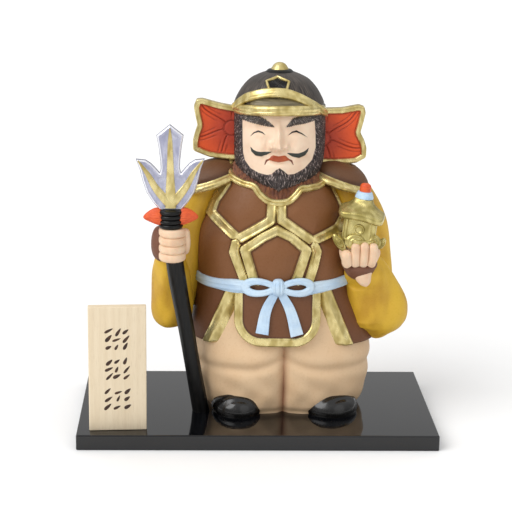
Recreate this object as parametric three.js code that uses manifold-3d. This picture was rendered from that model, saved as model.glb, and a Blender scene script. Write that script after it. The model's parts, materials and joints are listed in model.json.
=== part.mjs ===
// A painted clay guardian king on a black lacquered plinth, with a trident in the right hand, a small
// gilt pagoda on the left and a wooden name board. The figure faces -Y, and Z is up.
// Sizes are in millimetres. The origin is the middle of the plinth's underside.
import * as THREE from "three";
import { LoftGeometry } from "three/addons/geometries/LoftGeometry.js";
import { RoundedBoxGeometry } from "three/addons/geometries/RoundedBoxGeometry.js";
import { mergeVertices } from "three/addons/utils/BufferGeometryUtils.js";
import Module from "manifold-3d";

// Driving sizes
const plinthWidth = 225;
const plinthDepth = 120;
const plinthThickness = 10;
const plinthEdgeRadius = 0.8;
const figureHeight = 222;
const figureX = 16;
const figureY = 6;
const heldClearance = 0.3;
const boardWidth = 35.6;
const boardHeight = 80;
const boardThickness = 6;
const boardTurn = THREE.MathUtils.degToRad(3.4);
const boardSideInset = 25.5;
const boardFrontInset = 8.5;

// Every place and size on the figure, the trident and the pagoda is counted in shares of the figure's
// height, from the point under the figure's middle where it stands.
const shares = 222;
const share = figureHeight / shares;

const { sin, cos, PI, abs, sign, hypot, exp, max, min } = Math;
const turn = 2 * PI;
const degrees = THREE.MathUtils.degToRad;
const wasm = await Module();
wasm.setup();

// A closed geometry as a solid, with its faces pointing out.
function solid(geometry) {
  const bare = new THREE.BufferGeometry();
  bare.setAttribute("position", geometry.getAttribute("position"));
  bare.setIndex(geometry.index);
  const merged = mergeVertices(bare, 1e-3);
  const corners = Array.from(merged.index.array);
  const kept = [];
  for (let i = 0; i < corners.length; i += 3) {
    const [a, b, c] = corners.slice(i, i + 3);
    if (a !== b && b !== c && c !== a) kept.push(a, b, c);
  }
  const build = (triangles) =>
    new wasm.Manifold(
      new wasm.Mesh({
        numProp: 3,
        vertProperties: merged.attributes.position.array,
        triVerts: new Uint32Array(triangles),
      }),
    );
  const first = build(kept);
  return first.volume() > 0 ? first : build(kept.reverse());
}

// The union of several solids.
function joined(solids) {
  return solids.reduce((whole, piece) => whole.add(piece));
}

// A value, or several, read off stations [t, a, b, ...] on a smooth curve whose slope at each station
// is that of the line through its two neighbours.
function along(stations, t) {
  const last = stations.length - 1;
  let i = 0;
  while (i < last - 1 && t > stations[i + 1][0]) i++;
  const slope = (k, c) => {
    const [lo, hi] = [stations[max(k - 1, 0)], stations[min(k + 1, last)]];
    return (hi[c] - lo[c]) / (hi[0] - lo[0]);
  };
  const [from, to] = [stations[i], stations[i + 1]];
  const span = to[0] - from[0];
  const s = min(max((t - from[0]) / span, 0), 1);
  const values = [];
  for (let c = 1; c < from.length; c++)
    values.push(
      (2 * s ** 3 - 3 * s ** 2 + 1) * from[c] +
        (s ** 3 - 2 * s ** 2 + s) * span * slope(i, c) +
        (3 * s ** 2 - 2 * s ** 3) * to[c] +
        (s ** 3 - s ** 2) * span * slope(i + 1, c),
    );
  return values;
}

const point = (x, y, z) => new THREE.Vector3(x, y, z);
const rounded = (t, power) => sign(t) * abs(t) ** power;
const bump = (t, width) => exp(-((t / width) ** 2));

// Evenly spaced numbers from one end to the other.
function steps(from, to, count) {
  return Array.from({ length: count + 1 }, (_, i) => from + ((to - from) * i) / count);
}

// A closed ring of points, one for each angle measured from the front towards the figure's left.
function ring(sides, place) {
  return Array.from({ length: sides }, (_, i) => place((turn * i) / sides));
}

// The middle of a ring, and its area as a vector.
function middleOf(spots) {
  return spots.reduce((sum, p) => sum.add(p), point(0, 0, 0)).divideScalar(spots.length);
}

function areaOf(spots) {
  const nextTo = (i) => spots[(i + 1) % spots.length];
  return spots.reduce((sum, p, i) => sum.add(p.clone().cross(nextTo(i))), point(0, 0, 0));
}

// A closed body through several rings, flat at both ends. The rings are turned to run the right way round.
function loft(rings) {
  const middles = rings.map(middleOf);
  const stepTo = (i) => middles[i].clone().sub(middles[i - 1]);
  const sense = rings.reduce((sum, r, i) => (i > 0 ? sum + areaOf(r).dot(stepTo(i)) : 0), 0);
  const ordered = sense < 0 ? rings.map((r) => [...r].reverse()) : rings;
  return solid(new LoftGeometry(ordered, { capStart: true, capEnd: true }));
}

// A limb, finger or roll: ovals set square to a smooth line. Each row is a point on the line with the
// oval's half sizes, across and in depth.
function limb(rows, count, sides) {
  const stations = rows.map((row, i) => [i, ...row]);
  const rings = steps(0, rows.length - 1, count).map((t) => {
    const [x, y, z, across, deep] = along(stations, t);
    const ahead = along(stations, min(t + 0.01, rows.length - 1));
    const behind = along(stations, max(t - 0.01, 0));
    const way = point(ahead[0] - behind[0], ahead[1] - behind[1], ahead[2] - behind[2]).normalize();
    const side = way.clone().cross(point(0, -1, 0)).normalize();
    const depth = side.clone().cross(way);
    return ring(sides, (a) =>
      point(x, y, z)
        .addScaledVector(side, across * sin(a))
        .addScaledVector(depth, deep * cos(a)),
    );
  });
  return loft(rings);
}

// A strip laid on a surface along a route. It stands proud by its height, with sloping sides, and its foot
// is sunk below the surface. place(p) gives the surface's point and outward normal at a route point p, and
// halfWidths holds the half width at either end.
const stripTop = 0.78;
const sharpestMitre = 0.6;

function strip(route, place, halfWidths, height, sink = 1.5) {
  const spots = route.map((p) => place(p));
  const last = spots.length - 1;
  const [first, final] = halfWidths;
  const wayOf = (from, to) => to.at.clone().sub(from.at).normalize();
  const rings = spots.map((spot, i) => {
    const inner = i > 0 && i < last;
    const behind = wayOf(spots[max(i - 1, 0)], spots[max(i, 1)]);
    const ahead = wayOf(spots[min(i, last - 1)], spots[min(i + 1, last)]);
    const way = behind.clone().add(ahead).normalize();
    const side = spot.normal.clone().cross(way).normalize();
    const mitre = inner ? 1 / max(sharpestMitre, way.dot(ahead)) : 1;
    const w = mitre * (first + ((final - first) * i) / last);
    return [
      [-w, -sink],
      [w, -sink],
      [w * stripTop, height],
      [-w * stripTop, height],
    ].map(([s, h]) => spot.at.clone().addScaledVector(side, s).addScaledVector(spot.normal, h));
  });
  return loft(rings);
}

// The corners of a route with points added between them, no further apart than the pace.
function walk(corners, pace) {
  const route = [corners[0]];
  for (let i = 1; i < corners.length; i++) {
    const [from, to] = [corners[i - 1], corners[i]];
    const parts = max(1, Math.round(hypot(to[0] - from[0], to[1] - from[1]) / pace));
    for (let k = 1; k <= parts; k++)
      route.push(from.map((v, c) => v + ((to[c] - v) * k) / parts));
  }
  return route;
}

// Trousers: two full legs with a cleft between them. Rows are height, middle, half width, front, back.
const trouserRows = [
  [0, 1.2, 47.5, 29.4, 30],
  [5, 1.2, 51.5, 31.6, 33],
  [16, 1.2, 55, 33.8, 36],
  [30, 1.2, 56, 35.4, 38],
  [44, 1, 56, 35.5, 38.5],
  [60, 0, 53, 34, 37],
  [80, -2, 48, 31, 34],
];
const trouserPower = 0.8;
const legSpread = 27;

function trouserPoint(z, angle) {
  const [middle, wide, front, back] = along(trouserRows, z);
  const x = wide * rounded(sin(angle), trouserPower);
  const toFront = cos(angle) > 0;
  const cleft = (toFront ? 4.2 : 3) * bump(x, 3.2) + (toFront ? 3 : 2) * bump(x, 10);
  const legX = (abs(x) - legSpread) / legSpread;
  const foldZ = 31 + 8 * max(0, -legX) ** 2;
  const fold = toFront ? 1.6 * bump(z - foldZ - 7, 7) - 1.8 * bump(z - foldZ, 3.4) : 0;
  const reach = (toFront ? front : back) + fold;
  const y = -(reach * rounded(cos(angle), trouserPower)) + (toFront ? cleft : -cleft);
  return point(middle + x, y, z);
}

function trousers() {
  const sides = 24;
  return loft([0, 1.5, 10, 22, 31, 39, 51, 79].map((z) => ring(sides, (a) => trouserPoint(z, a))));
}

// Shoes: low domes under the trouser legs. Each is a middle, half width, half length, height and turn.
const shoes = [
  [-29.2, -17, 15.4, 18, 13.6, 0],
  [34.5, -15.5, 16.2, 18.5, 13.2, degrees(28)],
];

function shoe([x, y, wide, long, high, toe]) {
  const levels = [0, 0.4, 0.75, 1];
  return loft(
    levels.map((level) => {
      const inset = max(0.08, (1 - level ** 2.6) ** (1 / 2.2)) * (level === 0 ? 0.95 : 1);
      return ring(12, (a) => {
        const flat = point(wide * inset * sin(a), -long * inset * cos(a), high * level);
        return flat.applyAxisAngle(point(0, 0, 1), toe).add(point(x, y, 0));
      });
    }),
  );
}

// The cuirass. Rows are height, middle, half width, front, back.
const torsoRows = [
  [52, -1, 47, 30, 32],
  [72, -3, 48.5, 33, 34],
  [86, -4, 48.6, 34.8, 34.5],
  [100, -4.6, 48.6, 35.4, 34.5],
  [114, -5, 47.6, 34.8, 33.5],
  [128, -5, 44.6, 32.4, 31.5],
  [140, -5, 39.6, 28.4, 29],
  [150, -5, 32.5, 23, 25.5],
  [159, -4.6, 24, 17, 20],
];
const torsoPower = 0.87;

// A point on the body of the rows given, at a height and an angle, moved out along the level plane.
function bodyPoint(rows, z, angle, out = 0) {
  const [middle, wide, front, back] = along(rows, z);
  const deep = cos(angle) > 0 ? front : back;
  return point(
    middle + (wide + out) * rounded(sin(angle), torsoPower),
    -(deep + out) * rounded(cos(angle), torsoPower),
    z,
  );
}

// The same body's front at x and z, with its outward normal.
function faceOf(rows) {
  const lies = (x, z) => {
    const [middle, wide, front] = along(rows, z);
    const run = min(abs(x - middle) / wide, 0.995) ** (2 / torsoPower);
    return point(x, -front * (1 - run) ** (torsoPower / 2), z);
  };
  return ([x, z]) => {
    const at = lies(x, z);
    const across = lies(x + 0.4, z).sub(lies(x - 0.4, z));
    const up = lies(x, z + 0.4).sub(lies(x, z - 0.4));
    const normal = across.cross(up).normalize();
    return { at, normal };
  };
}
const onChest = faceOf(torsoRows);

function cuirass() {
  return loft([74, 94, 112, 128, 142, 152, 159].map((z) => ring(24, (a) => bodyPoint(torsoRows, z, a))));
}

// The raised gilt bands of the cuirass: routes in x and z, each with its half width.
const chestBands = [
  [[[-34.5, 151], [-45.3, 133], [-29.6, 119], [-7.6, 131.5], [-7.6, 141]], 2.5],
  [[[-1.9, 141], [-1.9, 131.5], [17.5, 115.5], [33.5, 121.8]], 2.5],
  [[[-19.6, 89], [-26.3, 111.5], [-5.1, 126.2], [15.8, 111], [9.3, 89]], 2.5],
  [[[-29.8, 117], [-32.2, 107], [-26, 89]], 2.4],
  [[[17.8, 114.5], [22, 108], [19.2, 89]], 2.4],
];
const bandHeight = 1.3;
const bandPace = 16;

function bands() {
  return chestBands.map(([corners, half]) => {
    const route = walk(corners, bandPace);
    return strip(route, onChest, [half, half], bandHeight);
  });
}

// The skirt that the hanging armour plates follow. Rows are height, middle, half width, front, back.
const skirtRows = [
  [46, 1.5, 60, 40, 41],
  [56, 0.5, 57.5, 39.2, 39.5],
  [68, -1.5, 53.5, 37.6, 37.5],
  [80, -3.4, 50.4, 36, 36],
  [92, -4, 48.6, 35, 34.6],
];
const skirtThickness = 4;

// A hanging plate: at each height it runs from one angle to another round the skirt, a little raised just
// inside each open edge, where the gilt border runs.
const plateSpans = 6;
const borderRise = 1.2;

function plate(heights, edges) {
  const rings = heights.map((z) => {
    const spots = steps(...edges(z), plateSpans);
    const rise = (i) => (i === 1 || i === plateSpans - 1 ? borderRise : 0.25);
    const outer = spots.map((a, i) => bodyPoint(skirtRows, z, a, rise(i)));
    const inner = spots.map((a) => bodyPoint(skirtRows, z, a, -skirtThickness));
    return [...outer, ...inner.reverse()];
  });
  return loft(rings);
}

// The front apron: half width at each height, round at the lower corners.
const apron = { middle: -3.6, wide: 27.4, top: 90, bottom: 48.4, corner: 15 };

function apronHalf(z) {
  const drop = apron.bottom + apron.corner - z;
  if (drop <= 0) return apron.wide;
  return apron.wide - apron.corner + apron.corner * Math.sqrt(max(0, 1 - (drop / apron.corner) ** 2));
}

// The angle at which the skirt has a given x at a height.
function skirtAngle(x, z) {
  const [middle, wide] = along(skirtRows, z);
  return Math.asin(rounded((x - middle) / wide, 1 / torsoPower));
}

function plates() {
  const apronHeights = [48.6, 50.4, 55, 63.4, 74, 88];
  const apronEdges = (z) => [-1, 1].map((way) => skirtAngle(apron.middle + way * apronHalf(z), z));
  const sideHeights = [48, 51, 68, 88];
  const slant = (z) => (88 - z) / 40;
  const leftEdges = (z) => [skirtAngle(26 + 11.5 * slant(z), z), degrees(140)];
  const rightEdges = (z) => [-degrees(140), skirtAngle(-32.5 - 11.5 * slant(z), z)];
  const backEdges = () => [degrees(146), degrees(214)];
  return [
    plate(apronHeights, apronEdges),
    plate(sideHeights, leftEdges),
    plate(sideHeights, rightEdges),
    plate(sideHeights, backEdges),
  ];
}

// The sash: a flat roll round the waist, a little lower on the figure's left.
const sash = { z: 86, tilt: -0.05, half: 3.3, proud: 1.8 };

function belt() {
  const at = (a, out, rise) => {
    const level = bodyPoint(skirtRows, sash.z, a, out);
    return point(level.x, level.y, sash.z + sash.tilt * (level.x + 4) + rise);
  };
  const rings = [
    [-3, -sash.half - 0.5],
    [sash.proud, -sash.half + 0.8],
    [sash.proud, sash.half - 0.8],
    [-3, sash.half + 0.5],
  ].map(([out, rise]) => ring(18, (a) => at(a, out, rise)));
  return loft(rings);
}

// The bow: a knot, two loops with a hole and two tails, laid on the belly.
const knot = { x: -3.9, z: 87, wide: 4, high: 5.4 };

const leftTail = [
  [-5, 84.5],
  [-11, 72],
  [-13.4, 57.4],
];
const rightTail = [
  [-2.8, 84.5],
  [3.8, 72],
  [8.2, 56.6],
];

function bow() {
  const onBow = (out) => ([x, z]) => {
    const { at, normal } = faceOf(skirtRows)([x, z]);
    return { at: at.addScaledVector(normal, out), normal };
  };
  const loop = (way) => {
    const [middle, reach] = [11.3, 8.3];
    const route = steps(0.1, 0.9, 7).map((t) => {
      const a = turn * t;
      const x = knot.x + way * (middle - reach * cos(a));
      const plump = 0.55 + 0.45 * ((1 - cos(a)) / 2) ** 0.7;
      return [x, knot.z + 4.5 * plump * sin(a)];
    });
    return strip(route, onBow(1), [2.1, 2.1], 1.6, 3);
  };
  const tail = (corners) => strip(walk(corners, 11), onBow(0.6), [2.6, 3.7], 1.6, 3);
  return [
    loop(1),
    loop(-1),
    tail(leftTail),
    tail(rightTail),
    limb(
      [
        [knot.x, -38.2, knot.z - knot.high - 0.2, 2, 2],
        [knot.x, -38.6, 82.6, 3.6, 3],
        [knot.x, -38.8, knot.z, knot.wide, 3.8],
        [knot.x, -38.2, 91, 4.2, 3],
        [knot.x, -37.6, knot.z + knot.high + 0.2, 2.4, 2],
      ],
      4,
      8,
    ),
  ];
}

// The collar: a scalloped yoke round the neck, three lobes in front, with a gilt rim.
const cusp = degrees(25.5);

function collarPoint(angle, out = 0) {
  const a = angle > PI ? angle - turn : angle;
  const side = min(abs(a), PI - abs(a));
  const lobe = side < cusp ? 8 * (side / cusp) ** 2 : 8 + 14 * ((side - cusp) / (PI / 2 - cusp)) ** 2;
  const front = abs(a) < PI / 2;
  const z = front ? 140.5 + lobe : 147 + 15.5 * sin(side) ** 3;
  return point(-4.9 + (32 + out) * sin(a), -1 - (front ? 28.4 + out : 27 + out) * rounded(cos(a), 0.85), z);
}

function collar() {
  const sides = 18;
  const lift = (out, rise) => ring(sides, (a) => collarPoint(a, out).add(point(0, 0, rise)));
  const yoke = loft([
    lift(-6, -9),
    lift(-0.5, -3),
    lift(-0.6, 0),
    ring(sides, (a) => point(-4.4 + 23 * sin(a), -1 - 22 * cos(a), 159)),
  ]);
  const rim = (a) => {
    const at = collarPoint(a, -0.4);
    return { at, normal: point(sin(a) * 0.86, -cos(a) * 0.86, 0.5).normalize() };
  };
  const half = (from, to) => strip(steps(from, to, 8), rim, [1.9, 1.9], 1.7, 2);
  return [yoke, half(-PI / 2, PI / 2), half(PI / 2, PI * 1.5)];
}

// Shoulder caps: a dome over each shoulder with a flared gilt rim.
function shoulderCap(way) {
  const [x, z, tilt] = [-4.8 + way * 40.5, 148, way * degrees(19)];
  const rows = [
    [19.4, 17.6, -3.6],
    [21.6, 19.6, -1.8],
    [21, 19, 0.2],
    [18, 16.4, 4.4],
    [10, 9, 9.6],
    [4, 4, 11],
  ];
  const at = (a, wide, deep, rise) => {
    const upright = point(wide * sin(a), -deep * cos(a), rise);
    return upright.applyAxisAngle(point(0, 1, 0), tilt).add(point(x, 0.5, z));
  };
  return loft(rows.map(([wide, deep, rise]) => ring(13, (a) => at(a, wide, deep, rise))));
}

// Sleeves: an upper arm from the shoulder to the elbow, and a full bag from the elbow up to the wrist.
const leftUpperArm = [
  [37, 1, 152, 12, 13],
  [46, 2, 138, 15.5, 16],
  [53, 3, 118, 16.6, 17],
  [57, 3, 98, 15.8, 17],
  [60, 0, 80, 15, 17],
  [61, -2, 66, 13, 14],
];
const leftBag = [
  [58, -6, 50.6, 4, 4],
  [59, -7, 52.6, 12, 12],
  [60.2, -8, 59, 18.8, 18],
  [60.2, -10, 68, 20.4, 19.6],
  [57, -15, 82, 18.2, 17],
  [52.4, -21, 92, 14.6, 13.6],
  [48.4, -27, 99, 10.4, 10],
  [47, -30, 103, 8, 8],
];
const rightUpperArm = [
  [-46, 1, 152, 11, 13],
  [-54, 2, 138, 13, 15],
  [-62, 2, 118, 14.4, 16],
  [-65.6, 1, 98, 15.2, 16],
  [-67, 0, 80, 14.6, 16],
  [-68, -2, 66, 12, 13],
];
const rightBag = [
  [-69, -8, 53.4, 4, 4],
  [-69.4, -8, 55.6, 9, 10],
  [-70, -9, 62, 12.4, 14],
  [-69.8, -11, 72, 13.4, 15],
  [-70.4, -16, 86, 12, 13.4],
  [-71.4, -21, 96, 10.4, 11],
  [-72.4, -25.6, 104, 8.6, 8.6],
  [-72.6, -28, 109, 6.4, 6.4],
];

function sleeves() {
  return [
    limb(leftUpperArm, 4, 11),
    limb(leftBag, 7, 12),
    limb(rightUpperArm, 4, 11),
    limb(rightBag, 7, 11),
  ];
}

// The trident's shaft: a pole with a slight bow. Rows are places on it with its radius, from the foot up.
const shaftRows = [
  [-51.4, -22, 0, 5.5],
  [-56.4, -26.6, 30, 5],
  [-61.2, -31, 60, 5.1],
  [-66.2, -35, 90, 5.5],
  [-69, -37, 112, 5.4],
  [-69.8, -38, 128, 5.2],
];

// Each ring of the shaft lies level, so that the foot stands flat.
function shaft(grow) {
  const stations = shaftRows.map(([x, y, z, radius]) => [z, x, y, radius]);
  return loft(
    steps(0, stations.at(-1)[0], 5).map((z) => {
      const [x, y, radius] = along(stations, z);
      return ring(10, (a) => point(x + (radius + grow) * sin(a), y - (radius + grow) * cos(a), z));
    }),
  );
}

// The fist on the shaft: a palm behind it, four fingers round it and a thumb, with a cuff.
const fist = { x: -69, y: -37, z: 113.6, finger: 5.2 };
const fistPalm = [
  [-69.6, -30, 101.5, 5, 4.6],
  [-69.8, -31.4, 104.5, 8, 6.6],
  [-69.6, -32.4, 113, 8.8, 7.4],
  [-69.2, -32.4, 121, 8.2, 6.8],
  [-69, -32, 124.2, 5.4, 4.4],
];
const fistThumb = [
  [-61.4, -32, 108, 2.4, 3],
  [-60, -34.6, 113, 3.1, 3.6],
  [-60.4, -36.4, 119, 3, 3.2],
  [-61.4, -37, 123, 1.6, 1.8],
];
const fistCuff = [
  [-72.4, -26.4, 100, 7.4, 7.4],
  [-73.4, -27.6, 104, 9, 9],
  [-74, -29, 113, 9.2, 9.2],
  [-73.4, -29.6, 121, 7.4, 7.4],
  [-72.8, -29.6, 124, 4, 4],
];

function rightHand() {
  const arcs = [-1.5, -0.5, 0.5, 1.5].map((n) => {
    const z = fist.z + n * fist.finger;
    const rows = steps(-118, 104, 6).map((d) => {
      const a = degrees(d);
      return [fist.x + 7.1 * sin(a), fist.y - 7.4 * cos(a), z, 2.7, 2.7];
    });
    return fingerRoll(rows, 4, 6);
  });
  return [...arcs, limb(fistPalm, 3, 8), limb(fistThumb, 4, 6), limb(fistCuff, 3, 8)];
}

// A finger curled in a level arc: ovals square to its line, upright ones of its own thickness.
function fingerRoll(rows, count, sides) {
  const stations = rows.map((row, i) => [i, ...row]);
  const end = rows.length - 1;
  return loft(
    steps(0, end, count).map((t) => {
      const [x, y, z, high, deep] = along(stations, t);
      const [ahead, behind] = [along(stations, min(t + 0.01, end)), along(stations, max(t - 0.01, 0))];
      const way = point(ahead[0] - behind[0], ahead[1] - behind[1], 0).normalize();
      const out = point(way.y, -way.x, 0);
      const taper = t === 0 || t === end ? 0.55 : 1;
      return ring(sides, (a) => {
        const level = point(x, y, z + taper * high * sin(a));
        return level.addScaledVector(out, taper * deep * cos(a));
      });
    }),
  );
}

// The left hand: a palm and four fingers up in front of the pagoda's foot, with a cuff and a bare wrist.
// Each finger is its place across, the height of its tip and its thickness.
const palmMiddle = 46.6;
const palmFingers = [
  [38.8, 113, 1.9],
  [43.8, 115.6, 2.75],
  [49.3, 116.2, 2.75],
  [54.6, 114.8, 2.5],
];
const openPalm = [
  [47, -27, 95, 6, 6],
  [46.8, -29, 97.4, 10.4, 9.6],
  [46.7, -31, 103, 12, 10.6],
  [46.7, -31.6, 110.5, 12.6, 10.4],
  [46.7, -31.4, 112.2, 11.4, 9.2],
];
const openCuff = [
  [47.2, -25.6, 91.6, 7, 7],
  [47.2, -27.4, 93, 10.6, 9.6],
  [47, -29.6, 97, 11.8, 11],
  [46.8, -30, 99.6, 9.6, 9],
];

function leftHand() {
  const fingers = palmFingers.map(([x, top, r]) => {
    const foot = palmMiddle + (x - palmMiddle) * 0.86;
    const rows = [
      [foot, -36.4, 96.8, r * 0.7, 2],
      [foot, -38.6, 99, r, 2.8],
      [x, -41.6, 106, r * 1.02, 2.8],
      [x, -42.2, top - 2, r, 2.6],
      [x, -41.8, top, r * 0.5, 1.4],
    ];
    return limb(rows, 4, 6);
  });
  return [...fingers, limb(openPalm, 4, 10), limb(openCuff, 3, 10)];
}

// The head: a face with nose and chin inside a beard that runs up both cheeks.
// Rows are height, middle, half width, front, back.
const headRows = [
  [144.5, -4, 3, 27, 4],
  [148, -4, 8, 28.4, 8],
  [152, -3.8, 14.5, 28.4, 13],
  [158, -3.4, 21, 27.8, 18],
  [165, -3, 25.6, 27.4, 23],
  [175, -2.8, 27.6, 27.6, 26],
  [186, -2.9, 27.8, 27, 27],
  [196, -3.2, 27.4, 26.4, 27],
  [204, -3.4, 25, 24.5, 25],
];
const faceMiddle = -3.4;

// How far inside the bare face a place on the head's front lies: above 0 inside, below 0 in the beard.
function bareFace(x, z) {
  const across = (x - faceMiddle) / 22.6;
  const floor = 157.6 + 5.4 * bump(x - faceMiddle, 2.6) + 12 * max(0, abs(across) - 0.42) ** 1.4;
  return min(1 - abs(across), (z - floor) / 6);
}

function headPoint(z, angle) {
  const [middle, wide, front, back] = along(headRows, z);
  const x = middle + wide * rounded(sin(angle), 0.9);
  const toFront = cos(angle) > 0;
  const bare = toFront ? bareFace(x, z) : -1;
  const beard = bare > 0 ? 0 : 1.6;
  const side = x - faceMiddle;
  const noseTip = 6.8 * bump(side, 3.6) * bump(z - 172.5, 4.4);
  const noseBridge = 3.2 * bump(side, 3.4) * bump(z - 180, 5.4);
  const brow = 1.4 * bump(abs(side) - 11, 9) * bump(z - 189, 3);
  const eyeHollow = 1.5 * bump(abs(side) - 11.4, 6) * bump(z - 182, 4);
  const lips = 1.2 * bump(side, 6) * bump(z - 165.5, 2.6);
  const features = toFront ? noseTip + noseBridge + brow + lips - eyeHollow : 0;
  const reach = (toFront ? front : back) + beard;
  return point(x + beard * sin(angle), -reach * rounded(cos(angle), 0.9) - features, z);
}

function head() {
  const levels = [144.5, 147.5, 152, 158, 164, 168, 172, 177, 183, 189, 196];
  return loft(levels.map((z) => ring(20, (a) => headPoint(z, a - 0.4 * sin(a)))));
}

// The helmet: a dome with a small crown plate and a knob, a gilt brow band, a visor with a rolled rim,
// a five-sided badge, and a neck guard behind whose front ends turn back as two wings.
const helmet = { x: -3.4, y: 0.5 };
const domeRows = [
  [188, 28],
  [194, 28.4],
  [200.5, 26.6],
  [206.5, 22.2],
  [211.5, 16.8],
  [215, 11.4],
  [216.4, 8.4],
  [217.4, 5.2],
  [219.4, 4.6],
  [221.3, 2.8],
  [222, 1.2],
];

// The badge's five corners in x and z, with the first repeated.
const badge = [
  [-5.4, 214],
  [0.7, 212],
  [-0.5, 208.8],
  [-10.3, 208.8],
  [-11.5, 212],
  [-5.4, 214],
];

function domePoint(z, angle, out = 0) {
  const radius = along(domeRows, z)[0] + out;
  return point(helmet.x + radius * sin(angle), helmet.y - radius * cos(angle), z);
}

// The dome's front at x and z with its outward normal.
function onDome([x, z]) {
  const [radius] = along(domeRows, z);
  const [below] = along(domeRows, z - 0.5);
  const a = Math.asin(max(-0.98, min(0.98, (x - helmet.x) / radius)));
  const slope = (below - radius) / 0.5;
  return { at: domePoint(z, a), normal: point(sin(a), -cos(a), slope).normalize() };
}

function helmetParts() {
  const dome = loft(domeRows.map(([z]) => ring(15, (a) => domePoint(z, a))));
  const arch = steps(-PI / 2, PI / 2, 6).map((t) => [helmet.x + 28.4 * sin(t), 195.6 + 12 * cos(t) ** 1.3]);
  const browBand = strip(arch, onDome, [2.7, 2.7], 1.4, 2);
  const rollAt = (a) => point(helmet.x + 28.6 * sin(a), helmet.y - 32.4 * cos(a), 192.6 + 4 * cos(a));
  const roll = steps(-PI / 2, PI / 2, 8).map((a) => {
    const out = point(sin(a), -cos(a), 0);
    const thick = 0.6 + 0.4 * min(1, 5 * cos(a));
    return ring(6, (b) =>
      rollAt(a).addScaledVector(out, 2.6 * thick * cos(b) - 1).add(point(0, 0, 3.4 * thick * sin(b))),
    );
  });
  const visorRing = (z, out) => ring(14, (a) => domePoint(z, a, cos(a) > 0 ? out : -3));
  const visor = loft([visorRing(194.4, 1.6), visorRing(198, 2.2), visorRing(203, -3)]);
  const badgeFrame = strip(badge, onDome, [1.1, 1.1], 1.6, 2.4);
  return [dome, browBand, loft(roll), visor, badgeFrame];
}

// The wings: flat plates either side of the head, each an outline in x and z from the helmet outwards.
const wingPlate = { front: -3.4, back: 3.8, rim: 3.3, recess: 1.5 };
const leftWing = [
  [18, 158.4],
  [34, 158],
  [45.6, 158.8],
  [51.8, 162.4],
  [52, 168.6],
  [50.4, 173.6],
  [47.8, 178.4],
  [49.2, 183.6],
  [50.8, 190.8],
  [49.8, 194.6],
  [46.4, 195.7],
  [36, 193.6],
  [18, 193.2],
];
const rightWing = [
  [-24, 193.2],
  [-40, 195.9],
  [-51.4, 199],
  [-55, 198.6],
  [-56.8, 194],
  [-55.6, 187.6],
  [-54.4, 182.2],
  [-56, 177.6],
  [-57.3, 172.4],
  [-57.1, 166.2],
  [-46.4, 162],
  [-34, 160.6],
  [-24, 160.4],
];

// A slab standing across the figure: an outline in x and z carried in depth from one y to another.
function upright(outline, front, back) {
  const shape = new THREE.Shape(outline.map(([x, z]) => new THREE.Vector2(x, z)));
  const slab = new THREE.ExtrudeGeometry(shape, { depth: back - front, bevelEnabled: false });
  slab.rotateX(PI / 2);
  slab.translate(0, back, 0);
  return solid(mergeIndex(slab));
}

// An indexed copy of a geometry that has no index.
function mergeIndex(geometry) {
  const bare = new THREE.BufferGeometry();
  bare.setAttribute("position", geometry.getAttribute("position"));
  return mergeVertices(bare, 1e-3);
}

// An outline given anticlockwise, moved inwards by a width, point by point square to its neighbours' line.
function inset(outline, width) {
  return outline.map(([x, z], i) => {
    const [px, pz] = outline.at(i - 1);
    const [nx, nz] = outline[(i + 1) % outline.length];
    const length = hypot(nx - px, nz - pz);
    return [x - (width * (nz - pz)) / length, z + (width * (nx - px)) / length];
  });
}

function wings() {
  return [leftWing, rightWing].map((outline) =>
    upright(outline, wingPlate.front, wingPlate.back).subtract(
      upright(inset(outline, wingPlate.rim), wingPlate.front - 2, wingPlate.front + wingPlate.recess),
    ),
  );
}

// The neck guard: a flared shell round the back of the head.
function neckGuard() {
  const sides = 8;
  const section = (z, out, inward) => {
    const span = steps(degrees(84), degrees(276), sides);
    const at = (a, r) => point(helmet.x + r * sin(a), helmet.y - r * cos(a), z);
    return [...span.map((a) => at(a, out)), ...span.map((a) => at(a, inward)).reverse()];
  };
  const rows = [
    [157, 38.4, 30],
    [160.5, 38, 29],
    [164, 35, 26],
    [178, 32, 24],
    [195, 29.6, 24],
  ];
  return loft(rows.map(([z, out, inward]) => section(z, out, inward)));
}

// The pagoda. Rows are height, half width, squareness: 1 is round, lower is squarer.
const pagodaFoot = { x: 44.7, y: -31.6, z: 108.6, lean: degrees(6), spin: degrees(-10) };
const pagodaRows = [
  [0, 7.2, 1],
  [3.6, 7.6, 1],
  [4, 9.4, 1],
  [8, 12, 1],
  [10.4, 12.4, 1],
  [10.6, 10.6, 0.55],
  [18.6, 10.4, 0.5],
  [19, 13.6, 0.5],
  [22, 15, 0.5],
  [25, 14.8, 0.5],
  [29, 9.8, 0.6],
  [34.4, 5.8, 1],
  [36.6, 7, 1],
  [38.6, 6, 1],
  [38.8, 4.2, 1],
  [42.4, 3.8, 1],
  [43.8, 1.2, 1],
];

function pagodaPlace(p) {
  const { x, y, z, lean, spin } = pagodaFoot;
  return p.applyAxisAngle(point(0, 0, 1), spin).applyAxisAngle(point(0, 1, 0), lean).add(point(x, y, z));
}

// How far a level's edge lies from the middle at an angle: round, or a soft-cornered square, which is an
// eighth of a turn round from the corners that the powers make, with eight petals on the cup.
function pagodaReach([height, half, power], angle) {
  const inCup = height > 3.8 && height < 10.5;
  const petals = inCup ? 1 + 0.07 * cos(8 * angle) * min(1, (height - 3.8) / 4) : 1;
  const corner = angle + PI / 4;
  const square = power < 1 ? hypot(rounded(sin(corner), power), rounded(cos(corner), power)) : 1;
  return half * petals * square;
}

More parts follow.
